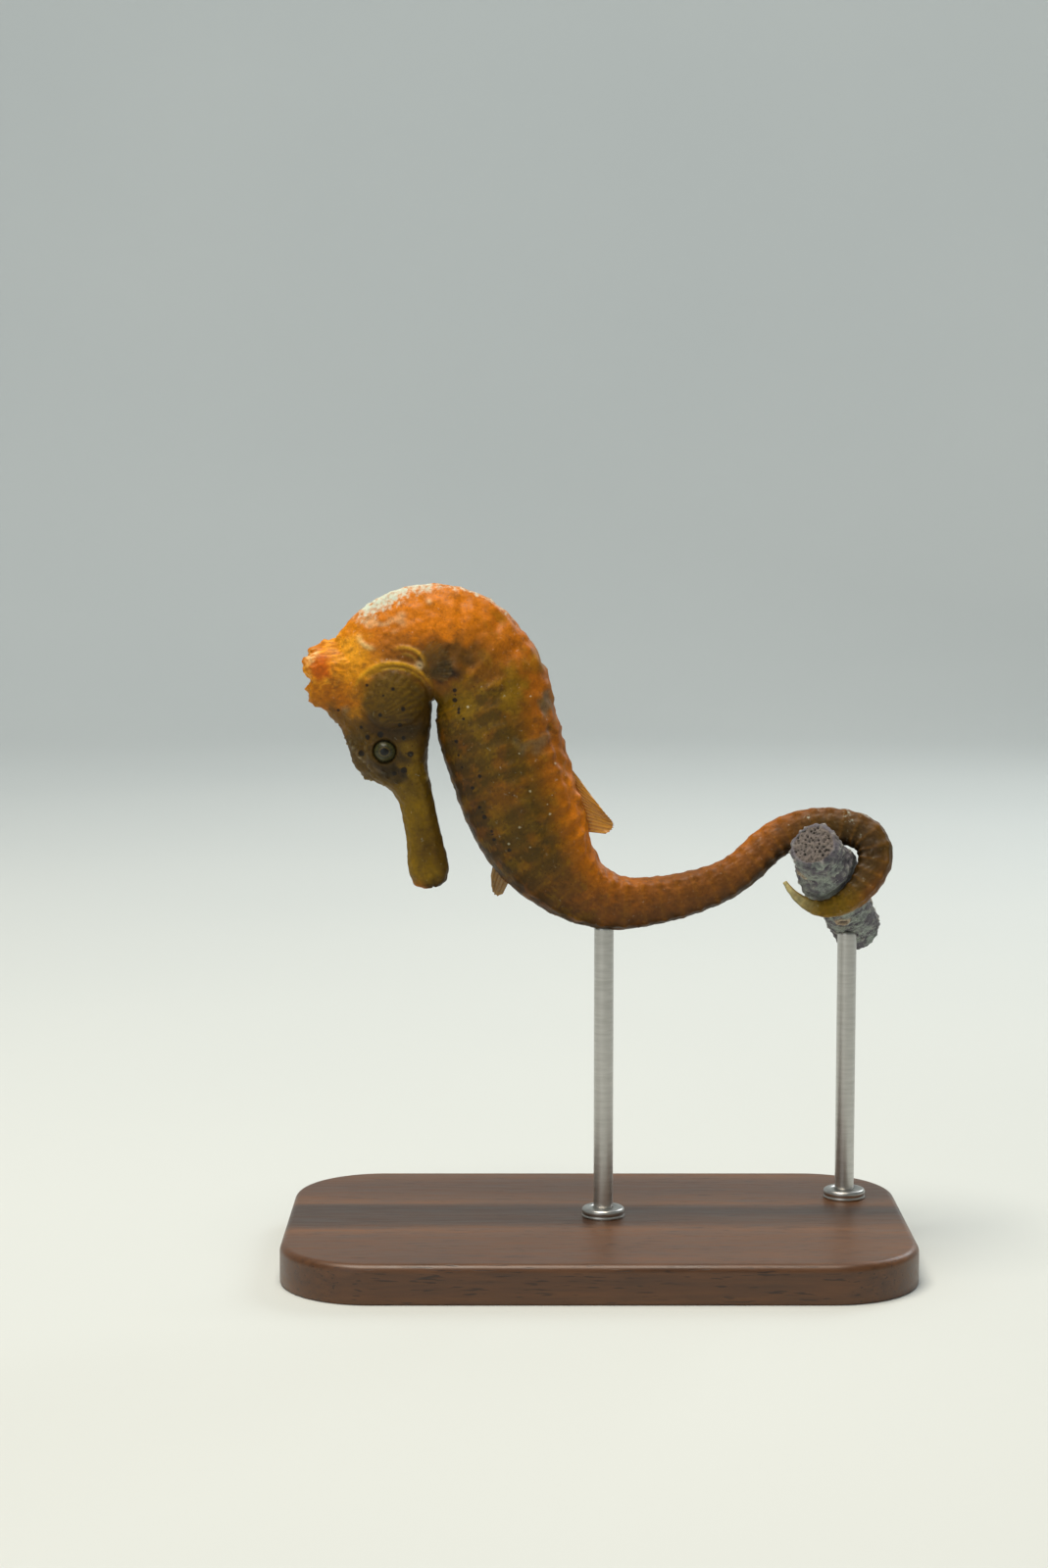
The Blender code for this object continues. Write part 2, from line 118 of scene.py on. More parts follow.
TIP_FORWARD = 2.0

FIRST_RING, TRUNK_RING = 41.0, 3.0
TAIL_RING_FIRST, TAIL_RING_LAST = 3.2, 1.5
VENT = 71.0

HEAD_END, MARKS_END = 42, 85  # the head's own relief ends there, and the side view's dots and patches there

EYE_ALONG, EYE_UP, EYE_OUT, EYE_RADIUS = 22.2, 3.6, 3.15, 1.95


def smooth_step(value, low, high):
    """0 below low, 1 above high, and an even S between."""
    share = np.clip((value - low) / (high - low), 0, 1)
    return share * share * (3 - 2 * share)


def between(value, start, full, fading, end):
    """0 outside start and end, 1 from full to fading, and an even S at each side."""
    return smooth_step(value, start, full) * (1 - smooth_step(value, fading, end))


def bell(value, middle, width):
    """1 in the middle and falling evenly to both sides, to 0.37 a width away."""
    return np.exp(-(((value - middle) / width) ** 2))


def make_frames():
    """The axis in space and, at each point, its direction, right side and back.

    The heading is the running sum of the arcs' bends, smoothed where one arc meets the next; the points are
    the running sum of its cosine and sine. Past COIL_START the axis leans sideways, so that the coil crosses
    itself.
    """
    along = np.arange(0.0, BODY_LENGTH + AXIS_STEP, AXIS_STEP)
    ends = np.cumsum([0.0] + [length for _, length, _ in AXIS_ARCS])
    bend = np.zeros_like(along)
    for (_, length, turn), start, end in zip(AXIS_ARCS, ends, ends[1:]):
        bend[(along >= start) & (along <= end + AXIS_STEP)] = np.radians(turn) / length
    reach = int(CURVE_SOFTENING / AXIS_STEP)
    weights = np.hanning(reach + 2)[1:-1]
    bend = np.convolve(np.pad(bend, reach, "edge"), weights / weights.sum(), "same")[reach:-reach]
    bent = np.concatenate([[0], np.cumsum(bend[1:] + bend[:-1]) * AXIS_STEP / 2])
    heading = np.radians(MOUTH_HEADING) + bent
    middle = (heading[1:] + heading[:-1]) / 2
    points = np.zeros((len(along), 3))
    points[1:, 0] = np.cumsum(np.cos(middle)) * AXIS_STEP
    points[1:, 2] = np.cumsum(np.sin(middle)) * AXIS_STEP
    points += MOUTH

    top = points[np.argmin(abs(heading) + 9 * (along < COIL_FULL))]
    foot = points[np.argmin(abs(heading + np.pi) + 9 * (along < COIL_FULL))]
    coil_middle = (top + foot) / 2
    lean = smooth_step(along, COIL_START, COIL_FULL)
    sideways = COIL_LEAN_X * (points[:, 0] - coil_middle[0]) + COIL_LEAN_Z * (points[:, 2] - coil_middle[2])
    points[:, 1] = lean * sideways - TIP_FORWARD * smooth_step(along, COIL_FULL, BODY_LENGTH)
    direction = np.gradient(points, along, axis=0)
    direction /= np.linalg.norm(direction, axis=1)[:, None]
    right = np.column_stack([-COIL_LEAN_X * lean, np.ones_like(lean), -COIL_LEAN_Z * lean])
    right -= (right * direction).sum(1)[:, None] * direction
    right /= np.linalg.norm(right, axis=1)[:, None]
    return along, points, direction, right, np.cross(direction, right), coil_middle


ALONG, AXIS, DIRECTION, RIGHT, BACK, COIL_MIDDLE = make_frames()


def at(values, along):
    """values of the axis, read at distances from the mouth."""
    if values.ndim == 1:
        return np.interp(along, ALONG, values)
    return np.stack([np.interp(along, ALONG, column) for column in values.T], axis=-1)


def solid_box(name):
    """The low and the high corner of a solid, in millimetres."""
    return [np.array(corner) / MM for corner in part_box(name)]


EYE_MIDDLE = at(AXIS, EYE_ALONG) + EYE_UP * at(BACK, EYE_ALONG)
shift = sum(solid_box("eye_left")) / 2 - (EYE_MIDDLE - EYE_OUT * at(RIGHT, EYE_ALONG))
AXIS = AXIS + shift  # the solid eye says where the body's line runs
EYE_MIDDLE, COIL_MIDDLE = EYE_MIDDLE + shift, COIL_MIDDLE + shift


def smooth_through(stations, values, wanted):
    """A curve through the stations that never swings past them (monotone cubic)."""
    steps = np.diff(stations)
    slopes = np.diff(values) / steps
    left, right = slopes[:-1], slopes[1:]
    inner = np.where(left * right > 0, 2 * left * right / np.where(left + right == 0, 1, left + right), 0)
    tangents = np.concatenate([slopes[:1], inner, slopes[-1:]])
    index = np.clip(np.searchsorted(stations, wanted, "right") - 1, 0, len(steps) - 1)
    step, t = steps[index], (wanted - stations[index]) / steps[index]
    return (
        values[index] * (1 + 2 * t) * (1 - t) ** 2
        + tangents[index] * step * t * (1 - t) ** 2
        + values[index + 1] * t * t * (3 - 2 * t)
        + tangents[index + 1] * step * t * t * (t - 1)
    )


def girth(along):
    """Reach to the back, reach to the belly and half width of the section at distances from the mouth."""
    table = np.array([row[1:] for row in GIRTH], float)
    return [smooth_through(table[:, 0], table[:, column], along) for column in (1, 2, 3)]


def ring_distances():
    """Where the bony rings stand: each one spacing after the last, the spacing closing up down the tail."""
    found = [FIRST_RING]
    while True:
        spacing = np.interp(found[-1], [VENT, BODY_LENGTH], [TAIL_RING_FIRST, TAIL_RING_LAST])
        spacing = spacing if found[-1] > VENT else TRUNK_RING
        if found[-1] + spacing >= BODY_LENGTH - 1.0:
            return np.array(found)
        found.append(found[-1] + spacing)


RINGS = ring_distances()


def bare_body(along, around):
    """The body without its relief: sections stood across the axis.

    In each, the back or belly reach times the cosine of the angle is the height, and the half width times its
    sine is the width. From the neck down both are drawn out towards the corners, and the head narrows to its
    top.
    """
    back, belly, half_width = girth(along)
    boxy = 1.0 - BODY_SQUARENESS * smooth_step(along, 44, 60)
    narrow = HEAD_NARROWING * between(along, 16, 24, 31, 46)
    c, s = np.cos(around), np.sin(around)
    height = np.sign(c) * abs(c) ** boxy * np.where(c > 0, back, belly)
    width = np.sign(s) * abs(s) ** boxy * half_width * (1 - narrow * np.maximum(c, 0) ** 2)
    return at(AXIS, along) + height[..., None] * at(BACK, along) - width[..., None] * at(RIGHT, along)


# --- Small tools: grids, noise, meshes and materials ----------------------------------------------


def unit(vectors):
    """Each vector over its own length."""
    return vectors / np.maximum(np.linalg.norm(vectors, axis=-1, keepdims=True), 1e-9)


def linear(hex_colour):
    """The linear red, green and blue of an sRGB colour such as #e0761a."""
    value = np.array([int(hex_colour[i : i + 2], 16) for i in (1, 3, 5)]) / 255
    return np.where(value <= 0.04045, value / 12.92, ((value + 0.055) / 1.055) ** 2.4)


def lay(under, over, share):
    """Lays one colour over another; share is 0 where the lower one shows and 1 where it is covered."""
    over = linear(over) if isinstance(over, str) else over
    return under + (over - under) * np.clip(share, 0, 1)[..., None]


def ripples(points, wavelength, seed, waves=36):
    """Even random relief of about -1 to 1: waves of about one length in random directions, added up."""
    random = np.random.default_rng(seed)
    turns = unit(random.normal(size=(waves, 3))) * TURN / wavelength * random.uniform(0.7, 1.4, (waves, 1))
    return np.cos(points @ turns.T + random.uniform(0, TURN, waves)).sum(-1) / np.sqrt(waves)


def nearest_spots(u, v, size, seed, columns=None, spread=0.8):
    """Distance to the nearest of the spots scattered one to a square cell, in cells, and that spot's own lot.

    A spot stands at its cell's corner plus a random share of the cell. columns is the number of cells round a
    closed shape, so that the pattern meets itself there.
    """
    random = np.random.default_rng(seed)
    table = random.uniform((1 - spread) / 2, (1 + spread) / 2, (64, 64, 2))
    lots = random.uniform(0, 1, (64, 64))
    u, v = np.broadcast_arrays(u / size, v / size)
    best, lot = np.full(u.shape, 9.0), np.zeros(u.shape)
    for step_u in (-1, 0, 1):
        for step_v in (-1, 0, 1):
            cell_u, cell_v = np.floor(u) + step_u, np.floor(v) + step_v
            i, j = cell_u.astype(int) % 64, (cell_v if columns is None else cell_v % columns).astype(int) % 64
            away = np.hypot(cell_u + table[i, j, 0] - u, cell_v + table[i, j, 1] - v)
            lot = np.where(away < best, lots[i, j], lot)
            best = np.minimum(best, away)
    return best, lot


def side_distance(points, line):
    """Distance in the side view from each point to a line of X and Z places, and the share of it passed."""
    place = points[..., [0, 2]]
    best, share = np.full(place.shape[:-1], 99.0), np.zeros(place.shape[:-1])
    for index, (start, end) in enumerate(zip(line, line[1:])):
        run = end - start
        t = np.clip(((place - start) @ run) / (run @ run), 0, 1)
        away = np.linalg.norm(place - start - t[..., None] * run, axis=-1)
        share = np.where(away < best, (index + t) / (len(line) - 1), share)
        best = np.minimum(best, away)
    return best, share


def grid_normals(points):
    """Outward normals of a grid that closes round: the cross product of its steps round and down."""
    return unit(np.cross(np.roll(points, -1, 1) - np.roll(points, 1, 1), np.gradient(points, axis=0)))


def grid_quads(rows, columns, ring=False):
    """The faces of a grid that closes round; with ring, they also join its last row to its first."""
    i, j = np.meshgrid(np.arange(rows if ring else rows - 1), np.arange(columns), indexing="ij")
    k, m = (j + 1) % columns, (i + 1) % rows
    return np.stack([i * columns + j, i * columns + k, m * columns + k, m * columns + j], -1).reshape(-1, 4)


def turned(x, y, reach, height, columns=72):
    """Rings round an upright line at x and y: a profile of reaches and heights carried round it."""
    turn = np.arange(columns) * TURN / columns
    reach, height = (np.array(values, float)[..., None] for values in (reach, height))
    across, along = reach * np.cos(turn) + 0 * height, reach * np.sin(turn) + 0 * height
    return np.stack([x + across, y + along, height + 0 * across], -1)


ATTRIBUTE_KINDS = {1: ("FLOAT", "value"), 3: ("FLOAT_VECTOR", "vector"), 4: ("FLOAT_COLOR", "color")}


def add_mesh(name, points, quads, triangles, finish, attributes=None):
    """A smooth-shaded piece from points in millimetres, which rides on the body; attributes are point values.

    Its faces are turned round where the volume that they shut in comes out negative.
    """
    both = np.concatenate([quads[:, [0, 1, 2]], quads[:, [0, 2, 3]], triangles])
    corners = points[both] - points.mean(0)
    if np.einsum("ij,ij->", corners[:, 0], np.cross(corners[:, 1], corners[:, 2])) < 0:
        quads, triangles = quads[:, ::-1], triangles[:, ::-1]
    mesh = bpy.data.meshes.new(name)
    mesh.from_pydata((points * MM).tolist(), [], quads.tolist() + triangles.tolist())
    for key, values in (attributes or {}).items():
        kind, field = ATTRIBUTE_KINDS[values.shape[-1]]
        mesh.attributes.new(key, kind, "POINT").data.foreach_set(field, values.astype(np.float32).ravel())
    mesh.shade_smooth()
    mesh.materials.append(finish)
    piece = bpy.data.objects.new(name, mesh)
    bpy.context.scene.collection.objects.link(piece)
    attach(piece, "root")
    return piece


def add_tube(name, points, finish, attributes=None):
    """A closed piece from a grid of rings, with a pole in the middle of the first ring and of the last."""
    rows, columns = points.shape[:2]
    count = rows * columns
    j = np.arange(columns)
    k, last = (j + 1) % columns, count - columns
    first_cap = np.stack([np.full(columns, count), k, j], -1)
    last_cap = np.stack([last + j, last + k, np.full(columns, count + 1)], -1)
    poled = {
        key: np.concatenate([grid.reshape(count, -1), grid[[0, -1]].mean(1)])
        for key, grid in {"points": points, **(attributes or {})}.items()
    }
    triangles = np.concatenate([first_cap, last_cap])
    return add_mesh(name, poled.pop("points"), grid_quads(rows, columns), triangles, finish, poled)


def node(tree, kind, inputs=None, stops=None, **settings):
    """Adds a node and gives it back: settings are its properties, and stops its ramp's places and colours.

    inputs are its sockets, by name or number: another node's output is linked, a hex colour is turned to
    linear, and anything else is set as it is.
    """
    made = tree.nodes.new(kind)
    for key, value in settings.items():
        setattr(made, key, value)
    for key, value in (inputs or {}).items():
        if isinstance(value, bpy.types.NodeSocket):
            tree.links.new(value, made.inputs[key])
        else:
            made.inputs[key].default_value = (*linear(value), 1) if isinstance(value, str) else value
    if stops:
        ramp = made.color_ramp
        while len(ramp.elements) < len(stops):
            ramp.elements.new(0.5)
        for element, (place, colour) in zip(ramp.elements, stops):
            element.position = place
            element.color = (*(linear(colour) if isinstance(colour, str) else [colour] * 3), 1)
    return made


def finish_named(name, **scalars):
    """A material with a principled shader, its plain numbers set by name; gives material, tree and shader."""
    made = bpy.data.materials.new(name)
    made.use_nodes = True
    shader = made.node_tree.nodes["Principled BSDF"]
    for key, value in scalars.items():
        shader.inputs[key.replace("_", " ")].default_value = value
    return made, made.node_tree, shader


def per_mm(length):
    """The scale of a noise in Object coordinates whose features are this many millimetres apart."""
    return 1 / (length * MM)


# --- Main form of the skin: body, coronet, gill covers and orbits ---------------------------------

CROWN_ALONG = 30.7
CROWN_LENGTH, CROWN_WIDTH, CROWN_LOBES, CROWN_RAKE = 10.6, 5.6, 5, 0.15
CROWN_FRONT_DROP, CROWN_EDGE_DROP = 1.2, 0.5  # lower towards the snout, and more at its front edge
CROWN_BACK_DROP = 1.1  # lower at its back edge
LOBE_REACH, LOBE_HEIGHT, NICK_HEIGHT = 0.07, 0.3, 0.1  # the lobes' share of the reach, and the edge's heights
CRUMPLES = ((0.17, 1.5, 3), (0.08, 0.9, 4))  # height, wavelength, seed
FAR_BELOW = -99.0
CROWN_HEART = (-42.0, 91.5, 2.0)  # its red middle in the side view: X, Z, radius
CROWN_PROFILE = (  # height over the foot, from the middle outwards
    (0, 1.7), (0.35, 2.4), (0.6, 2.6), (0.8, 2.0), (0.93, 0.8),
    (1.0, -0.6), (1.08, -3), (1.2, -9), (1.4, -30),
)  # fmt: skip

GILL_X, GILL_Z, GILL_REACH_X, GILL_REACH_Z = -31.0, 87.0, 5.2, 4.5
GILL_BULGE = 0.75

LID_INNER, LID_OUTER, LID_OUT = 1.62, 1.92, 4.3  # where the lid leaves the eyeball, and how far out it stands
ORBIT_REACH = 3.9
THROAT_FILL, THROAT_WIDTH, THROAT_LENGTH = 0.8, 1.5, 15.0
CHEST_FILL = 0.6
HIDDEN_DEPTH = 0.35  # the skin runs this far under the eyeball's surface


def crown_places(points):
    """Reach from the middle of the coronet (1 at its foot), angle round it, and height over its foot."""
    up, forward, right = (at(values, CROWN_ALONG) for values in (BACK, DIRECTION, RIGHT))
    back = girth(np.array(CROWN_ALONG))[0]
    off = points - at(AXIS, CROWN_ALONG) - up * back
    rise = off @ up
    a = (off @ forward - CROWN_RAKE * np.clip(rise, 0, 3)) / (CROWN_LENGTH / 2)
    b = (off @ right) / (CROWN_WIDTH / 2)
    angle = np.arctan2(b, a)
    return np.hypot(a, b) / (1 + LOBE_REACH * np.cos(CROWN_LOBES * angle)), angle, rise


def raise_coronet(points, along, around):
    """Lifts the top of the head to the coronet: a low mound of five lobes, hollow in its middle, crumpled."""
    reach, angle, rise = crown_places(points)
    table = np.array(CROWN_PROFILE, float)
    height = smooth_through(table[:, 0], table[:, 1], np.clip(reach, 0, 1.39))
    lobes = LOBE_HEIGHT * np.cos(CROWN_LOBES * angle) + NICK_HEIGHT * np.cos(13 * angle + 1.0)
    height += bell(reach, 0.66, 0.22) * lobes
    towards_nape = reach * np.cos(angle)
    front = CROWN_FRONT_DROP * smooth_step(-towards_nape, 0.0, 0.3)
    front += CROWN_EDGE_DROP * smooth_step(-towards_nape, 0.45, 0.8)
    height -= front * (1 - smooth_step(reach, 0.72, 0.98))
    height -= CROWN_BACK_DROP * smooth_step(towards_nape, 0.45, 0.8)
    crumple = sum(size * ripples(points, wavelength, seed) for size, wavelength, seed in CRUMPLES)
    height += crumple * (1 - 0.7 * smooth_step(reach, 0.7, 0.95)) * (reach < 1.1)
    height = np.where((np.cos(around) > 0.15) & (along < 40), height, FAR_BELOW)
    lifted = (rise + height + np.sqrt((rise - height) ** 2 + 0.12)) / 2
    return points + (lifted - rise)[..., None] * at(BACK, CROWN_ALONG) * (height > -25)[..., None]


def gill_reach(points):
    """0 in the middle of the gill cover and 1 at its rim, seen from the side."""
    return np.hypot((points[..., 0] - GILL_X) / GILL_REACH_X, (points[..., 2] - GILL_Z) / GILL_REACH_Z)


def eye_distance(points):
    """How far a point is from the middle of the eyes, seen from the side."""
    return np.hypot(points[..., 0] - EYE_MIDDLE[0], points[..., 2] - EYE_MIDDLE[2])


def shape_orbits(points):
    """A turret round each eye: the skin rises to a lid, then dips under the surface of the eyeball."""
    distance, out = eye_distance(points), abs(points[..., 1])
    ball = EYE_OUT + np.sqrt(np.maximum(EYE_RADIUS**2 - distance**2, 0))
    turret = out + np.maximum(LID_OUT - out, 0) * (1 - smooth_step(distance, LID_OUTER + 0.1, ORBIT_REACH))
    lid = smooth_step(distance, LID_INNER, LID_OUTER)
    shaped = (ball - HIDDEN_DEPTH) * (1 - lid) + turret * lid
    moved = np.where((distance < ORBIT_REACH) & (out > 1), shaped, out)
    points = points.copy()
    points[..., 1] = np.sign(points[..., 1]) * moved
    return points


def close_throat(points):
    """Draws chin and chest together into a narrow slit under the corner of the neck.

    Each point moves towards the slit's middle line by a share that is greatest THROAT_WIDTH from it, and the
    slit's top comes down. Both moves change slowly enough that no two points change places. The hollow at the
    top of the chest is filled as well.
    """
    belly = bare_body(np.linspace(33, 48, 60), np.full(60, np.pi))
    top = belly[np.argmax(belly[:, 2])]
    points = points.copy()
    across = (points[..., 0] - top[0]) / THROAT_WIDTH
    closing = smooth_step(points[..., 2], top[2] - THROAT_LENGTH, top[2] - 3)
    points[..., 0] -= THROAT_FILL * closing * across * np.exp((1 - across**2) / 2)
    points[..., 0] -= CHEST_FILL * bell(points[..., 2], top[2] - 2.3, 1.1) * between(across, 0.3, 1.1, 2.5, 5)
    points[..., 2] -= THROAT_FILL * bell(points[..., 2], top[2], 1.6) * bell(across, 0, 1.4)
    return points


def main_form(along, around):
    """The body with its coronet, gill covers and orbits, before any fine relief."""
    points = close_throat(bare_body(along, around))
    points = raise_coronet(points, along, around)
    dome = np.sqrt(np.maximum(1 - gill_reach(points) ** 2, 0))
    bulge = GILL_BULGE * dome * abs(np.sin(around)) * (along < HEAD_END)
    points[..., 1] += np.sign(points[..., 1]) * bulge
    return shape_orbits(points)


SKIN_ROWS, SKIN_COLUMNS = 650, 150
ROW_SPACING = (  # relative spacing of the rows on the outer side, at distances from the mouth
    (0, 0.10),
    (3, 0.20),
    (14, 0.20),
    (17.5, 0.12),
    (27, 0.13),
    (34, 0.19),
    (45, 0.24),
    (74, 0.25),
    (100, 0.21),
    (130, 0.18),
    (BODY_LENGTH, 0.12),
)
STEEPEST_ROWS = 4.0
COLUMN_EASING = 31
EYE_FOCUS = 2.5  # how many more columns stand round the eyes, as a share of those elsewhere


def row_places():
    """Distances of the rows: equal steps of the longest line down the body, over the spacing wanted there.

    Where that line climbs the coronet its length counts for at most STEEPEST_ROWS, so that the rows under it
    don't crowd.
    """
    fine = np.linspace(0, BODY_LENGTH, 5000)
    lines = main_form(fine[:, None], np.radians([[0, 25, 60, 90, 180]]))
    run = np.minimum(np.linalg.norm(np.gradient(lines, fine, axis=0), axis=2).max(axis=1), STEEPEST_ROWS)
    spacing = np.interp(fine, *zip(*ROW_SPACING))
    total = np.concatenate([[0], np.cumsum((run / spacing)[1:] * np.diff(fine))])
    return np.interp(np.linspace(0, total[-1], SKIN_ROWS), total, fine)[:, None]


def column_places(along):
    """Angles of the columns in each row: equal steps of the section's outline, closer round the eyes.

    They are evened out over COLUMN_EASING rows, so that a column doesn't jump sideways where the coronet
    starts.
    """
    fine = np.broadcast_to(np.linspace(0, TURN, 721), (len(along), 721))
    ring = main_form(along, fine)
    step = np.linalg.norm(np.diff(ring, axis=1), axis=2)
    middle = (ring[:, 1:] + ring[:, :-1]) / 2
    step *= 1 + EYE_FOCUS * np.exp(-((eye_distance(middle) / 2.4) ** 4)) * (abs(middle[..., 1]) > 2)
    run = np.concatenate([np.zeros((len(along), 1)), np.cumsum(step, axis=1)], axis=1)
    run /= run[:, -1:]
    row = np.arange(len(along))[:, None]
    wanted = np.arange(SKIN_COLUMNS) / SKIN_COLUMNS
    places = np.interp(wanted + row, (run + row).ravel(), fine.ravel()).reshape(len(along), SKIN_COLUMNS)
    weights = np.hanning(COLUMN_EASING + 2)[1:-1]
    half = COLUMN_EASING // 2
    padded = np.pad(places, ((half, half), (0, 0)), "edge")
    return sum(weight * padded[i : i + len(along)] for i, weight in enumerate(weights)) / weights.sum()


# --- Fine relief of the skin ----------------------------------------------------------------------

HOOP_HEIGHT, RIDGE_HEIGHT, KNOB_HEIGHT = 0.09, 0.12, 0.26
BELLY_CALM = 0.65  # the belly's ridges and knobs are lower by this share
BACK_LUMP_HEIGHT, BACK_LUMP_SPACING = 0.2, 3.0

FOLDS = (  # name, arc (middle X and Z, reach along X and Z, start and end in degrees), height, width, colour
    ("gill rim", (-31.0, 87.0, 6.2, 5.3, 165, 20), 0.42, 0.34, "#d8a01c"),
    ("inner gill rim", (-31.0, 87.0, 5.4, 4.6, 150, 25), 0.2, 0.22, "#b98c1c"),
    ("neck fold", (-29.5, 91.5, 3.4, 3.2, 115, -10), 0.42, 0.3, "#d09a28"),
    ("inner neck fold", (-29.5, 91.5, 2.4, 2.2, 100, 30), 0.24, 0.26, "#8f6c20"),
    ("forehead fold", (-34.0, 97.0, 2.5, 2.5, 190, 275), 0.2, 0.35, "#e6c07a"),
)
GILL_GROOVE, FURROW_HEIGHT = 0.12, 0.035
GILL_FURROWS = 46  # furrows to the radian, fanning out from the cover's hinge
GILL_PORE, PORE_RING, PORE_PIT = (-27.0, 92.0), 0.45, 0.5  # X and Z, height of its ring, depth
LID_CREASES, CREASE_HEIGHT = 0.42, 0.055  # spacing, height
PIMPLE_SPACING, PIMPLE_HEIGHT, GRAIN_HEIGHT = 1.2, 0.07, 0.4
SNOUT_KEEL, SNOUT_FLUTES, JAW_CLEFT = 0.16, 0.03, 0.22
UNEVENNESS = ((0.045, 1.7, 21), (0.022, 0.75, 22))  # height, wavelength, seed
COAT_DEPTH = 0.28  # the nape's skin lies this far in, under its film and threads

SPINES = (  # name, along, around in degrees, height, radius
    ("brow", 22.4, 38, 0.85, 0.75),
    ("temple", 29.0, 45, 0.45, 0.7),
    ("nose", 18.4, 0, 0.5, 0.7),
    ("cheek", 25.2, 158, 0.5, 0.7),
    ("cheek", 28.2, 152, 0.55, 0.7),
    ("jaw", 17.0, 150, 0.25, 0.6),
    ("shoulder", 41.0, 90, 0.5, 0.8),
    ("shoulder", 38.0, 40, 0.35, 0.9),
)


def ring_phase(along):
    """How far a place is from its nearest bony ring, as a share of the spacing there; 0.5 past the rings."""
    after = np.clip(np.searchsorted(RINGS, along), 1, len(RINGS) - 1)
    share = (along - RINGS[after - 1]) / (RINGS[after] - RINGS[after - 1])
    share = np.where((share > 0.5) & (share < 1.5), share - 1, share)
    return np.where(abs(share) < 0.5, share, 0.5)


def ridge_weight(along, around):
    """1 on a lengthwise ridge: at 45 and 135 degrees all the way, at 90 and 180 degrees on the trunk only."""
    degrees = abs((np.degrees(around) + 180) % 360 - 180)
    width = 8 + 4 * smooth_step(along, VENT, VENT + 30)
    always = sum(bell(degrees, ridge, width) for ridge in (45, 135))
    trunk = sum(bell(degrees, ridge, width) for ridge in (90, 180))
    return always + trunk * (1 - smooth_step(along, VENT - 4, VENT + 8))


def gill_furrows(points):
    """Waves of -1 to 1 across the gill cover that fan out from its hinge."""
    fan = np.arctan2(points[..., 2] - (GILL_Z - 3.6), points[..., 0] - (GILL_X - 3.4))
    return np.cos(GILL_FURROWS * fan + 0.6 * ripples(points, 2.0, seed=5))


def welt(points, arc, height, width):
    """A raised arc in the side view: a bell across it, fading towards its two ends."""
    x, z, reach_x, reach_z, start, end = arc
    angle = np.radians(np.linspace(start, end, 20))
    line = np.stack([x + reach_x * np.cos(angle), z + reach_z * np.sin(angle)], -1)
    away, share = side_distance(points, line)
    return height * bell(away, 0, width) * np.sin(np.pi * np.clip(share, 0.01, 0.99)) ** 0.6


def spine_distances(points):
    """Height, radius and distance to every point, for each spine of both sides."""
    for _, place, degrees, height, radius in SPINES:
        for side in (1, -1)[: 1 + (degrees > 0)]:
            foot = bare_body(np.array([[place]]), np.radians([[side * degrees]]))[0, 0]
            yield height, radius, np.linalg.norm(points - foot, axis=-1)


def granules(points, along, around):
    """Grains of skin down the middle of the forehead, up to 1 at their tips."""
    front = smooth_step(np.cos(around), 0.1, 0.7) * between(along, 15.5, 18, 30, 40)
    return front * smooth_step(ripples(points, PIMPLE_SPACING, seed=11), 0.3, 1.9)


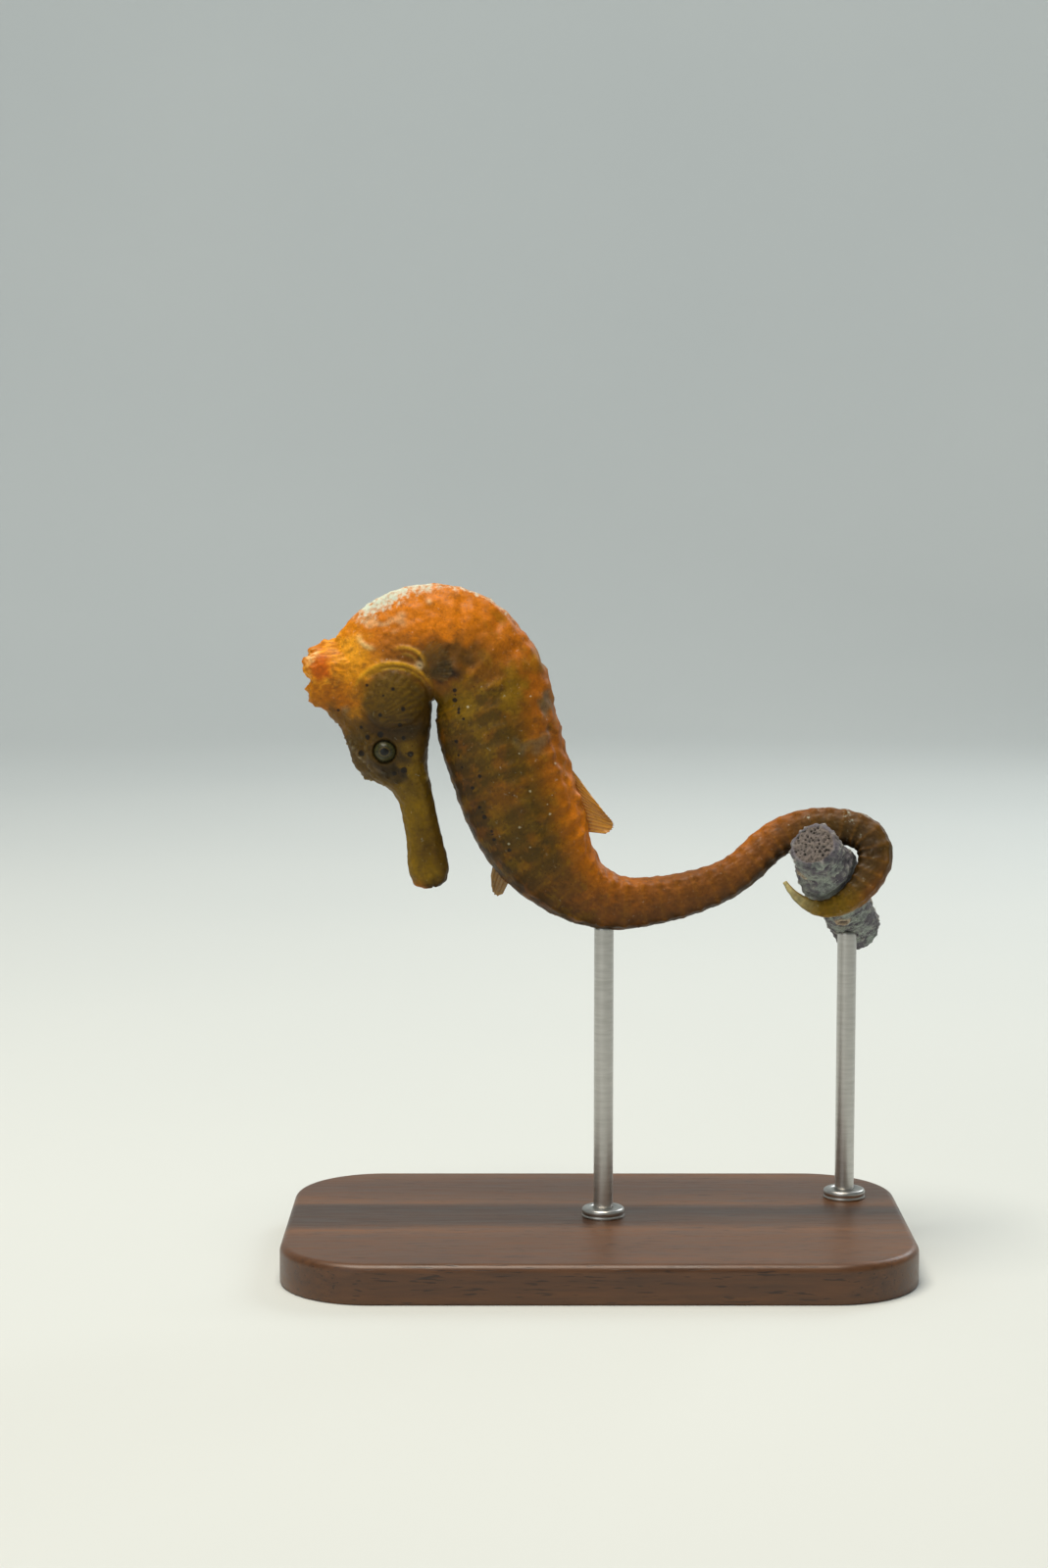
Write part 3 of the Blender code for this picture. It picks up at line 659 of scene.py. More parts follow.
def relief(points, along, around):
    """How far each point of the main form moves outwards, in millimetres."""
    fade = np.minimum(1, girth(along)[2] / 2)
    flank = smooth_step(abs(points[..., 1]), 1.2, 2.6)
    head = along < HEAD_END
    under = smooth_step(-np.cos(around), 0.2, 0.7)

    # bony rings, and knobs where a ridge crosses them
    phase = ring_phase(along)
    hoop = (0.5 + 0.5 * np.cos(TURN * phase)) ** 1.5
    plated = smooth_step(along, 38 + 5 * under, 44 + 5 * under)
    calm = 1 - BELLY_CALM * under * (1 - smooth_step(along, VENT, VENT + 12))
    moved = fade * hoop * HOOP_HEIGHT * calm * smooth_step(along, 39.5 + 4 * under, 42 + 4 * under)
    knobs = RIDGE_HEIGHT + KNOB_HEIGHT * bell(phase, 0, 0.2)
    moved += fade * plated * calm * ridge_weight(along, around) * knobs
    upper = smooth_step(np.cos(around), 0.2, 0.9) * between(along, 33, 42, 76, 90)
    moved += BACK_LUMP_HEIGHT * upper * ripples(points, BACK_LUMP_SPACING, seed=6)

    # the gill cover with its groove and furrows, the folds, the pore and the lids' creases
    rim = gill_reach(points)
    on_head = flank * head
    moved -= on_head * GILL_GROOVE * bell(rim, 1.04, 0.07)
    moved += on_head * FURROW_HEIGHT * gill_furrows(points) * smooth_step(rim, 0.95, 0.8)
    for _, arc, height, width, _ in FOLDS:
        moved += on_head * welt(points, arc, height, width)
    pore = np.hypot(points[..., 0] - GILL_PORE[0], points[..., 2] - GILL_PORE[1])
    moved += on_head * (PORE_RING * bell(pore, 0, 0.65) - PORE_PIT * bell(pore, 0, 0.22))
    eye = eye_distance(points)
    creases = np.cos(TURN * (eye - LID_OUTER - 0.12) / LID_CREASES) * between(eye, 1.8, 2.0, 2.4, 3.6)
    moved += on_head * CREASE_HEIGHT * creases

    for height, radius, away in spine_distances(points):
        moved += height * bell(away, 0, radius)
    moved += GRAIN_HEIGHT * granules(points, along, around)
    pimples = smooth_step(ripples(points, PIMPLE_SPACING, seed=12), 0.3, 1.9)
    moved += PIMPLE_HEIGHT * pimples * smooth_step(along, 17, 22)
    moved -= COAT_DEPTH * smooth_step(np.cos(around), 0.4, 0.9) * between(along, 30, 35, 42, 48)

    # the snout: a keel along its back, flutes round it, and the cleft of the jaw
    snout = between(along, 1.5, 4, 14, 18)
    moved += snout * (SNOUT_KEEL * bell(np.sin(around / 2), 0, 0.16) + SNOUT_FLUTES * np.cos(9 * around))
    moved -= JAW_CLEFT * bell(abs(np.degrees(around) - 180), 72, 9) * smooth_step(along, 3.2, 1.2)
    for height, wavelength, seed in UNEVENNESS:
        moved += height * ripples(points, wavelength, seed) * fade
    # the corner of the throat is too tight for relief, and the skin under the eyeball stays where it is
    moved *= 1 - 0.95 * bell(along, 36, 1.8) * under
    return np.where((eye < LID_INNER) & (flank > 0.5) & head, 0, moved)


# --- Colour of the skin ---------------------------------------------------------------------------

GOLD = "#d0880c"  # crown of the head
AMBER = "#f0a526"  # lobes of the coronet
EMBER = "#cc5c06"  # heart of the coronet
ORANGE = "#d07604"  # nape and coronet
RUST = "#a45c08"  # back of the trunk
OCHRE = "#7f6008"  # snout, throat and blotches
OLIVE = "#573f0a"  # gill cover
BARK = "#523a10"  # flanks
UMBER = "#38260c"  # cheeks and belly
SOOT = "#2b2212"  # round the eye
RUSSET = "#744518"  # tail
SAND = "#a89e6e"  # tip of the tail
CREAM = "#e6d2a2"  # pale tips
LEAD = "#62614a"  # grey-green patches
INK = "#14100e"  # dots

# Lighter backs and darker bellies are partly the animal's own colours and partly painted light from above and
# painted shade below; the darker rows of the coil's side, near 132, are partly painted shade.
BODY_COLOURS = (  # distance from the mouth, back, flank, belly
    (0, RUST, UMBER, UMBER),
    (2, OCHRE, OCHRE, OLIVE),
    (6, OCHRE, OLIVE, OLIVE),
    (13, OCHRE, OCHRE, OLIVE),
    (18, OLIVE, OLIVE, OLIVE),
    (25, BARK, BARK, BARK),
    (29, GOLD, BARK, BARK),
    (32, ORANGE, BARK, BARK),
    (38, ORANGE, RUST, OLIVE),
    (48, RUST, OLIVE, OLIVE),
    (60, RUST, OLIVE, UMBER),
    (74, ORANGE, OLIVE, UMBER),
    (84, RUST, RUSSET, UMBER),
    (100, RUSSET, RUSSET, UMBER),
    (114, RUST, RUSSET, UMBER),
    (122, RUSSET, BARK, UMBER),
    (132, BARK, UMBER, UMBER),
    (138, RUSSET, BARK, UMBER),
    (142, OCHRE, OCHRE, BARK),
    (145, OCHRE, OCHRE, OLIVE),
    (149, SAND, SAND, OCHRE),
    (BODY_LENGTH, SAND, SAND, OCHRE),
)

PATCHES = (  # name, colour, X, Z, reach along X, reach along Z, share covered
    ("crown", GOLD, -38.5, 93.5, 4.0, 4.5, 0.85),
    ("crown", AMBER, -38.0, 94.0, 3.5, 2.5, 0.6),
    ("foot of the coronet", ORANGE, -42.0, 92.5, 2.5, 3.0, 0.8),
    # the two brow patches darken the head below the coronet: partly its own colour and partly painted shade
    # below the lit top
    ("brow", RUST, -40.5, 87.0, 4.0, 3.0, 0.9),
    ("brow", BARK, -40.0, 83.5, 3.5, 2.5, 0.8),
    ("nape", ORANGE, -24.5, 99.5, 7.5, 3.5, 0.9),
    ("under the film", CREAM, -33.0, 98.5, 4.0, 1.0, 0.3),
    ("top of the gill cover", GOLD, -35.0, 92.0, 3.0, 2.0, 0.6),
    ("cheek", UMBER, -34.0, 81.5, 3.5, 3.5, 0.85),
    ("forehead", OLIVE, -36.5, 79.0, 3.0, 4.0, 0.85),
    # dark under the gill cover: painted shade
    ("below the gill cover", SOOT, -28.5, 82.5, 4.0, 1.5, 0.65),
    ("lid", SOOT, -32.0, 77.5, 3.0, 3.0, 0.75),
    ("stop", SOOT, -31.0, 75.5, 2.5, 1.5, 0.7),
    ("behind the eye", OCHRE, -28.5, 79.0, 1.5, 2.0, 0.5),
    ("jaw", OCHRE, -27.5, 75.5, 2.0, 2.0, 0.8),
    # the next two patches are painted shadow in the corner of the neck and painted shade round the black
    # blotch
    ("corner of the neck", BARK, -22.5, 93.5, 5.5, 2.5, 0.75),
    ("round the neck blotch", UMBER, -23.5, 91.5, 3.0, 2.5, 0.7),
    ("throat", OCHRE, -20.5, 86.5, 3.0, 3.0, 0.75),
    ("shoulder", OCHRE, -13.0, 88.5, 2.0, 3.5, 0.8),
    ("back", OCHRE, -9.0, 92.5, 2.5, 2.0, 0.5),
    ("back", LEAD, -7.5, 86.0, 1.5, 2.0, 0.65),
    ("back", LEAD, -9.5, 80.0, 2.5, 1.5, 0.5),
    ("loin", SOOT, -7.5, 82.0, 1.5, 1.0, 0.6),
    ("rump", ORANGE, -2.5, 74.5, 2.5, 4.5, 0.8),
    ("belly", RUST, -14.0, 72.0, 3.0, 2.5, 0.3),
    ("lower flank", OLIVE, -11.5, 69.5, 4.5, 3.5, 0.5),
)
NECK_BLOTCH_AND_SHADE = (-23.5, 91.0, 1.6, 1.3)  # the black blotch in the corner of the neck, partly a marking and partly painted shade: X, Z, reach along each

FACE_DOTS = (  # black dots of the left side of the head: X, Z, radius
    (-28.5, 78.5, 0.5), (-29.5, 76.0, 0.5), (-31.0, 75.5, 0.4), (-29.5, 81.0, 0.35), (-30.0, 83.0, 0.35),
    (-33.0, 81.5, 0.5), (-35.0, 81.0, 0.4), (-36.0, 78.5, 0.5), (-36.0, 82.5, 0.25), (-33.0, 84.5, 0.35),
    (-29.5, 85.5, 0.35), (-32.5, 87.5, 0.2), (-31.0, 88.5, 0.3), (-35.0, 89.0, 0.25), (-39.5, 85.0, 0.25),
)  # fmt: skip
OTHER_SIDE_SHIFT = (0.7, -0.5)  # the right side's marks stand this far from the left side's
THROAT_DOTS = (43.0, 72.0, 2.0)  # start, end and spacing of the dots down each side of the belly
MARK_EDGE = 0.4  # a mark's shade reaches this far at most
SPECK_COUNT, SPECK_REACH = 11, (40.0, 74.0)  # white specks scattered over each flank of the trunk


def side_marks(points, marks, reached):
    """For each point, its step along X and Z from the nearest round mark in the side view, and its radius.

    The steps run on evenly from point to point, so a mark comes out round however coarse the mesh is. Away
    from all marks the radius is negative, so that nothing shows where the nearest mark changes.
    """
    x = points[..., 0] - np.where(points[..., 1] > 0, OTHER_SIDE_SHIFT[0], 0)
    z = points[..., 2] - np.where(points[..., 1] > 0, OTHER_SIDE_SHIFT[1], 0)
    nearest = np.full((*x.shape, 3), 9.0)
    gap = np.full(x.shape, 99.0)
    for mark_x, mark_z, radius in marks:
        away = np.hypot(x - mark_x, z - mark_z) - radius
        step = np.stack([x - mark_x, z - mark_z, np.where(away < MARK_EDGE, radius, -9.0)], -1)
        nearest = np.where(((away < gap) & reached)[..., None], step, nearest)
        gap = np.minimum(gap, away)
    return nearest


def throat_dots():
    """Places and radii of the dots down the side of the belly: one a spacing, each a little astray."""
    random = np.random.default_rng(61)
    along = np.arange(*THROAT_DOTS)
    around = np.radians(random.uniform(112, 138, len(along)))
    places = bare_body(along + random.uniform(-0.6, 0.6, len(along)), around)
    return np.column_stack([places[:, 0], places[:, 2], random.uniform(0.18, 0.4, len(along))])


def specks():
    """Places and radii of the white specks, strewn over the flank."""
    random = np.random.default_rng(62)
    along = random.uniform(*SPECK_REACH, SPECK_COUNT)
    places = bare_body(along, np.radians(random.uniform(40, 130, SPECK_COUNT)))
    return np.column_stack([places[:, 0], places[:, 2], random.uniform(0.08, 0.22, SPECK_COUNT)])


def band(along, around):
    """The base colour: back, flank and belly colours blended down the body and round it; the lighter back and
    darker belly are partly the animal's own colours and partly painted light and shade.
    """
    stops = [row[0] for row in BODY_COLOURS]
    parts = np.swapaxes([[linear(value) for value in row[1:]] for row in BODY_COLOURS], 0, 1)
    back, flank, belly = (np.stack([np.interp(along, stops, hue) for hue in part.T], -1) for part in parts)
    c = np.cos(around)[..., None]
    tail = smooth_step(along, VENT, VENT + 15)[..., None]
    to_back, to_belly = smooth_step(c, 0.1 - 0.2 * tail, 0.9), smooth_step(-c, 0.2, 0.95)
    return flank * (1 - to_back - to_belly) + back * to_back + belly * to_belly


def paint_skin(points, along, around):
    """Colour, dots, specks and pale film of the skin, with some painted light and shade, as values at its
    points.
    """
    broad, middle, fine = (ripples(points, size, seed) for size, seed in ((4.0, 31), (1.9, 32), (0.8, 33)))
    rusty = ripples(points, 3.2, seed=36)
    phase = ring_phase(along)
    plated = smooth_step(along, 39, 44)
    back = smooth_step(np.cos(around), 0.0, 0.7)
    flank = smooth_step(abs(points[..., 1]), 0.6, 2.4)
    on_head = flank * (along < HEAD_END)
    marked = along < MARKS_END

    # brown, rusty and ochre clouds; a dark line between two plates, partly a dark joint and partly painted
    # shade in the groove; and a paler line on each ring's crest, partly a painted highlight
    colour = band(along, around)
    for hue, share in (
        (UMBER, 0.26 * smooth_step(broad + 0.5 * middle, 0.35, 1.4) * (1 - 0.7 * back)),
        (RUST, 0.25 * smooth_step(rusty + 0.5 * fine, 0.0, 1.5) * smooth_step(along, 110, 80)),
        (OCHRE, 0.4 * smooth_step(-broad + 0.6 * fine, 0.4, 1.4) * smooth_step(along, 96, 76)),
        # the dark groove line is partly painted shade, and the pale crest line below is partly a painted
        # highlight
        (SOOT, 0.06 * smooth_step(abs(phase), 0.3, 0.5) * (1 - 0.5 * back)),
        (GOLD, 0.07 * bell(phase, 0, 0.12)),
    ):
        colour = lay(colour, hue, plated * share)

    warped = points + 0.6 * np.stack([ripples(points, 2.4, 34), 0 * broad, ripples(points, 2.4, 35)], -1)
    for _, hue, x, z, reach_x, reach_z, share in PATCHES:
        away = np.hypot((warped[..., 0] - x) / reach_x, (warped[..., 2] - z) / reach_z)
        covered = flank if z < 90 and x > -38 else 1.0
        colour = lay(colour, hue, share * (1 - smooth_step(away, 0.4, 1.35)) * covered * marked)

    # the gill cover, its lower part darkened as painted shade, its yellow rims, the folds behind it and the
    # pore
    rim = gill_reach(points)
    # the gill cover's lower part is darkened: painted shade under the light from above
    lower_cover_shade = smooth_step(GILL_Z - points[..., 2], 0.5, 3.5) * (1 - smooth_step(rim, 0.85, 1.15))
    furrows = (1 - smooth_step(rim, 0.8, 1.0)) * (0.5 + 0.5 * gill_furrows(points))
    pore = np.hypot(points[..., 0] - GILL_PORE[0], points[..., 2] - GILL_PORE[1])
    for hue, share in (
        (OLIVE, 0.85 * (1 - smooth_step(rim + 0.06 * middle, 0.75, 1.08))),
        (UMBER, 0.7 * lower_cover_shade),
        (OCHRE, 0.3 * furrows),
        *((hue, 0.9 * welt(points, arc, 1.0, width)) for _, arc, _, width, hue in FOLDS),
        (CREAM, 0.65 * bell(pore, 0, 0.55)),
        (SOOT, 0.8 * bell(pore, 0, 0.16)),
    ):
        colour = lay(colour, hue, on_head * share)

    # pale tips of the forehead's grains and of the spines
    edge = smooth_step(along, 27, 24) * smooth_step(np.cos(around), 0.6, 0.95)
    colour = lay(colour, CREAM, 0.5 * edge * granules(points, along, around))
    for _, _, away in spine_distances(points):
        colour = lay(colour, CREAM, 0.55 * bell(away, 0, 0.4))

    # the coronet: orange lobes with pale tips, round a red heart
    reach, angle, rise = crown_places(points)
    towards_nape = reach * np.cos(angle)
    crown = smooth_step(np.cos(around), 0.2, 0.5) * (1 - smooth_step(reach, 0.95, 1.2)) * (along < HEAD_END)
    crown = crown * (1 - 0.85 * smooth_step(-towards_nape, 0.1, 0.6))
    heart = np.hypot(points[..., 0] - CROWN_HEART[0], points[..., 2] - CROWN_HEART[1]) / CROWN_HEART[2]
    tips = bell(reach, 0.72, 0.18) * smooth_step(towards_nape, -0.1, 0.4) * smooth_step(rise, 0.5, 1.5)
    for hue, share in (
        (ORANGE, crown * (0.5 + 0.15 * middle)),
        (AMBER, crown * 0.75 * smooth_step(fine + 0.5 * middle, -0.4, 1.0)),
        (EMBER, 0.8 * (1 - smooth_step(heart + 0.15 * middle, 0.4, 1.2)) * (along < HEAD_END)),
        (CREAM, crown * 0.65 * tips * smooth_step(fine + 0.5 * middle, -0.6, 0.9)),
    ):
        colour = lay(colour, hue, share)

    eye = eye_distance(points)
    colour = lay(colour, OLIVE, 0.5 * on_head * bell(eye, LID_OUTER + 0.15, 0.22))
    # darker where the lid meets the eyeball: painted shade in the groove between them
    colour = lay(colour, SOOT, on_head * 0.4 * (1 - smooth_step(eye, LID_INNER, LID_INNER + 0.3)))
    # the black blotch in the neck's corner: partly a marking and partly painted shade
    x, z, reach_x, reach_z = NECK_BLOTCH_AND_SHADE
    blotch_and_shade = np.hypot((points[..., 0] - x) / reach_x, (points[..., 2] - z) / reach_z) + 0.2 * middle
    colour = lay(colour, INK, flank * 0.93 * (1 - smooth_step(blotch_and_shade, 0.7, 1.5)) * marked)
    colour = colour * (1 + 0.09 * fine + 0.07 * middle)[..., None]

    # the film is thick on the front of the nape and thins to a line along its top; on the coil a pale wash on
    # the upward-facing side is painted light from above, laid with the film
    thin = smooth_step(along, 35.5, 40)
    crest = smooth_step(np.cos(around), 0.68 + 0.2 * thin, 1.0) * (1 - 0.4 * thin)
    film = crest * between(along, 33.0, 34.5, 42, 46)
    film = film * (0.6 + 0.4 * smooth_step(0.6 * broad + 0.6 * fine, -1.2, 0.9))
    # upward-facing parts of the coil get a pale wash: painted light from above
    top = smooth_step(grid_normals(points)[..., 2], 0.1, 0.8)
    film = film + 0.4 * between(along, 112, 118, 128, 134) * top * smooth_step(middle, -0.4, 1)
    freckle = 0.35 + 0.65 * between(along, 15, 19, 27, 31)
    freckle = np.maximum(freckle, 0.7 * plated * (1 - back) * smooth_step(along, 120, 75))
    dots = np.concatenate([FACE_DOTS, throat_dots()])
    return {
        "tint": np.concatenate([np.clip(colour, 0, 1), np.ones((*broad.shape, 1))], -1),
        "dot_step": side_marks(points, dots, marked),
        "speck_step": side_marks(points, specks(), marked),
        "film": np.clip(film, 0, 1)[..., None],
        "freckle": np.clip(freckle, 0, 1)[..., None],
    }


MIX, RANGE, RAMP, MATH = "ShaderNodeMix", "ShaderNodeMapRange", "ShaderNodeValToRGB", "ShaderNodeMath"
NOISE, CELLS, MAPPING = "ShaderNodeTexNoise", "ShaderNodeTexVoronoi", "ShaderNodeMapping"
READ, BUMP, PLACE = "ShaderNodeAttribute", "ShaderNodeBump", "ShaderNodeTexCoord"
COLOURS = {"data_type": "RGBA"}
SHADED = {"data_type": "RGBA", "blend_type": "MULTIPLY"}
SOFT = {"interpolation_type": "SMOOTHSTEP"}


def skin_finish():
    """Bare seahorse skin: thin, slightly slimy, over bone; satin, with fine grain, dark freckles and dots."""
    finish, tree, shader = finish_named(
        "slimed_seahorse_skin", Roughness=0.55, IOR=1.36, Subsurface_Weight=0.05, Subsurface_Scale=MM,
        Specular_IOR_Level=0.3, Coat_Weight=0.04, Coat_Roughness=0.3,
    )  # fmt: skip
    shader.inputs["Subsurface Radius"].default_value = (1.0, 0.45, 0.2)
    place = node(tree, PLACE).outputs["Object"]
    tint, film, freckle = (
        node(tree, READ, attribute_name=name).outputs["Color" if name == "tint" else "Fac"]
        for name in ("tint", "film", "freckle")
    )
    # grain of 0.35 mm, coarser than the real skin's, so that it shows
    grain = node(tree, NOISE, {"Vector": place, "Scale": per_mm(0.35), "Detail": 3.0}).outputs["Fac"]
    clouds = {"Vector": place, "Scale": per_mm(1.1), "Detail": 4.0, "Roughness": 0.6}
    cloud = node(tree, NOISE, clouds).outputs["Fac"]
    shade = node(tree, RANGE, {0: grain, 1: 0.25, 2: 0.75, 3: 0.82, 4: 1.14}).outputs[0]
    colour = node(tree, MIX, {0: 1.0, 6: tint, 7: shade}, **SHADED).outputs[2]
    dull = node(tree, RANGE, {0: cloud, 1: 0.52, 2: 0.72, 3: 0.0, 4: 0.4}, **SOFT).outputs[0]
    colour = node(tree, MIX, {0: dull, 6: colour, 7: "#4a3218"}, **COLOURS).outputs[2]

    # freckles: one pigment cell to each 0.55 mm, of which the larger half shows
    cell = node(tree, CELLS, {"Vector": place, "Scale": per_mm(0.55), "Randomness": 1.0})
    size = node(tree, MATH, {0: cell.outputs["Color"], 1: 0.32}, operation="MULTIPLY").outputs[0]
    inside = node(tree, MATH, {0: size, 1: cell.outputs["Distance"]}, operation="SUBTRACT").outputs[0]
    spot = node(tree, RANGE, {0: inside, 1: 0.0, 2: 0.08, 3: 0.0, 4: 0.75}, **SOFT).outputs[0]
    spot = node(tree, MATH, {0: spot, 1: freckle}, operation="MULTIPLY").outputs[0]
    colour = node(tree, MIX, {0: spot, 6: colour, 7: "#2e2012"}, **COLOURS).outputs[2]

    # black dots and white specks: round marks whose edges the grain frays by 0.1 mm
    for name, hue, cover in (("dot_step", "#17120f", 0.92), ("speck_step", "#cdc4a2", 0.6)):
        vector = node(tree, READ, attribute_name=name).outputs["Vector"]
        step = node(tree, "ShaderNodeSeparateXYZ", {0: vector}).outputs
        flat = node(tree, "ShaderNodeCombineXYZ", {0: step[0], 1: step[1]}).outputs[0]
        away = node(tree, "ShaderNodeVectorMath", {0: flat}, operation="LENGTH").outputs["Value"]
        gap = node(tree, MATH, {0: away, 1: step[2]}, operation="SUBTRACT").outputs[0]
        frayed = node(tree, MATH, {0: grain, 1: -0.3, 2: gap}, operation="MULTIPLY_ADD").outputs[0]
        mark = node(tree, RANGE, {0: frayed, 1: -0.08, 2: -0.26, 3: 0.0, 4: cover}, **SOFT).outputs[0]
        colour = node(tree, MIX, {0: mark, 6: colour, 7: hue}, **COLOURS).outputs[2]
    # slime and algae lie in patches of 0.7 mm; on the coil's upper side the same pale coat is painted light
    # from above
    patches = {"Vector": place, "Scale": per_mm(0.7), "Detail": 4.0, "Roughness": 0.6}
    patchy = node(tree, NOISE, patches).outputs["Fac"]
    patchy = node(tree, MATH, {0: film, 1: 0.55, 2: patchy}, operation="MULTIPLY_ADD").outputs[0]
    coated = node(tree, RANGE, {0: patchy, 1: 0.62, 2: 1.05, 3: 0.0, 4: 0.9}, **SOFT).outputs[0]
    colour = node(tree, MIX, {0: coated, 6: colour, 7: "#cddccb"}, **COLOURS).outputs[2]
    tree.links.new(colour, shader.inputs["Base Color"])

    rough = node(tree, RANGE, {0: grain, 1: 0.3, 2: 0.7, 3: 0.42, 4: 0.62}).outputs[0]
    rough = node(tree, MATH, {0: coated, 1: 0.3, 2: rough}, operation="MULTIPLY_ADD").outputs[0]
    tree.links.new(rough, shader.inputs["Roughness"])
    # pebbles of skin 0.42 mm across, and the grain on them
    pebble = node(tree, CELLS, {"Vector": place, "Scale": per_mm(0.42)}, feature="SMOOTH_F1")
    sunk = pebble.outputs["Distance"]
    height = node(tree, MATH, {0: sunk, 1: -0.7, 2: grain}, operation="MULTIPLY_ADD").outputs[0]
    bump = node(tree, BUMP, {"Height": height, "Strength": 0.55, "Distance": 0.06 * MM}).outputs[0]
    tree.links.new(bump, shader.inputs["Normal"])
    return finish


LIPS = (  # share of the first ring's reach, depth inwards
    (0.10, 1.5), (0.32, 1.35), (0.5, 1.0), (0.6, 0.6), (0.68, 0.25), (0.78, 0.04), (0.9, -0.02),
)  # fmt: skip


def add_skin():
    """One closed skin from the mouth to the tip of the tail: the main form, moved outwards by its relief.

    The first rings fold in through the lips to a short gullet, which is painted darker inwards as shade.
    """
    along = row_places()
    around = column_places(along)
    form = main_form(along, around)
    points = form + grid_normals(form) * relief(form, along, around)[..., None]
    marks = paint_skin(points, along, around)
    share, depth = np.array(LIPS).T[..., None, None]
    middle, inwards = at(AXIS, 0.0), at(DIRECTION, 0.0)
    points = np.concatenate([middle + (points[0] - middle) * share + inwards * depth, points])
    marks = {key: np.concatenate([values[:1].repeat(len(LIPS), 0), values]) for key, values in marks.items()}
    # the lips and gullet darken inwards: painted shade in the mouth
    marks["tint"][: len(LIPS), :, :3] *= 1 - 0.85 * smooth_step(depth, 0, 0.7)
    skin = add_tube("skin", points, skin_finish(), marks)
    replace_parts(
        skin, "snout", "head", "coronet", "neck", "trunk_front", "trunk_rear", "tail_root", "tail_middle",
        "tail_reach", "tail_coil_over", "tail_coil_side", "tail_tip",
    )  # fmt: skip
    return skin


# --- Eyes -----------------------------------------------------------------------------------------

CORNEA_BULGE = 0.07
PUPIL_REACH = (0.80, 0.66)  # a little wider than it is high
IRIS_SHARE = 0.34  # how fast the iris's rings pass, from the pupil's middle
EYE_ROWS, EYE_COLUMNS, POLE_GAP = 72, 96, 0.02  # the gap is in radians


def eye_finish():
    """A wet fish eye: black pupil, thin dull gold rim, dark olive iris streaked outwards, clear cornea."""
    finish, tree, shader = finish_named(
        "wet_fish_eye", Roughness=0.4, IOR=1.34, Coat_Weight=0.2, Coat_Roughness=0.06
    )
    reach = node(tree, READ, attribute_name="iris_reach").outputs["Fac"]
    round_it = node(tree, READ, attribute_name="iris_turn").outputs["Vector"]
    place = node(tree, PLACE).outputs["Object"]
    streaks = {"Vector": round_it, "Scale": 4.5, "Detail": 4.0, "Roughness": 0.65}
    streak = node(tree, NOISE, streaks).outputs["Fac"]
    fleck = node(tree, NOISE, {"Vector": place, "Scale": per_mm(0.25)}).outputs["Fac"]
    frayed = node(tree, MATH, {0: streak, 1: 0.16, 2: reach}, operation="MULTIPLY_ADD").outputs[0]
    # the outer stops darken the iris to its edge, partly its own colour and partly painted shade under the
    # lid
    rings = node(
        tree, RAMP, {"Fac": frayed},
        stops=((0.0, "#070605"), (0.35, "#0c0b07"), (0.42, "#5e4e20"), (0.48, "#38331a"), (0.64, "#3a3a1e"),
               (0.82, "#4a4726"), (0.93, "#37341c"), (1.0, "#2a2816")),
    ).outputs["Color"]  # fmt: skip
    shade = node(tree, RANGE, {0: streak, 1: 0.3, 2: 0.7, 3: 0.45, 4: 1.35}).outputs[0]
    colour = node(tree, MIX, {0: 1.0, 6: rings, 7: shade}, **SHADED).outputs[2]
    dark = node(tree, RANGE, {0: fleck, 1: 0.6, 2: 0.75, 3: 0.0, 4: 0.5}, **SOFT).outputs[0]
    colour = node(tree, MIX, {0: dark, 6: colour, 7: "#2a1f10"}, **COLOURS).outputs[2]
    tree.links.new(colour, shader.inputs["Base Color"])
    return finish


def add_eye(name, side, finish):
    """An eyeball round its outward axis: rings of equal angle from the pupil, with the cornea a low swell."""
    polar = np.linspace(POLE_GAP, np.pi - POLE_GAP, EYE_ROWS)[:, None]
    turn = (np.arange(EYE_COLUMNS) * TURN / EYE_COLUMNS)[None]
    radius = EYE_RADIUS - CORNEA_BULGE + CORNEA_BULGE * (1 - smooth_step(polar, 0.3, 0.95))
    c, s = np.cos(turn) + 0 * polar, np.sin(turn) + 0 * polar
    across = radius * np.sin(polar)
    points = np.stack([across * c, side * radius * np.cos(polar) + 0 * turn, across * s], -1)
    wide = polar * EYE_RADIUS * np.hypot(c / PUPIL_REACH[0], s / PUPIL_REACH[1])
    iris = {
        "iris_reach": np.clip(wide * IRIS_SHARE, 0, 1)[..., None],
        "iris_turn": np.stack([c, s, 0.25 * polar + 0 * turn], -1),
    }
    middle = sum(solid_box(name)) / 2
    eye = add_tube(name.replace("eye", "eyeball"), middle + points, finish, iris)
    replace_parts(eye, name)


# --- Fins -----------------------------------------------------------------------------------------

MEMBRANE, RAY_THICKNESS = 0.05, 0.13  # half thicknesses
# start, end, lengths of the rays, tilts, side of the body, number of rays
DORSAL_FIN = (62.0, 75.0, (3.2, 4.8, 2.6), (70, 40), 1, 17)
ANAL_FIN = (71.6, 74.6, (1.6, 2.6, 1.8), (50, 30), -1, 6)
PECTORAL_ALONG, PECTORAL_BASE, PECTORAL_LENGTH = 36.2, 3.0, 5.2
PECTORAL_SPREAD, PECTORAL_FLARE, PECTORAL_RAYS = 30, 28, 16
PECTORAL_SUNK = 0.4  # how far its rays start forwards of its root
RAY_POINTS, RAY_GAP = 26, 7  # points along a ray, and steps from one ray to the next
ROOTED = 0.9  # how far a fin's foot reaches into the skin


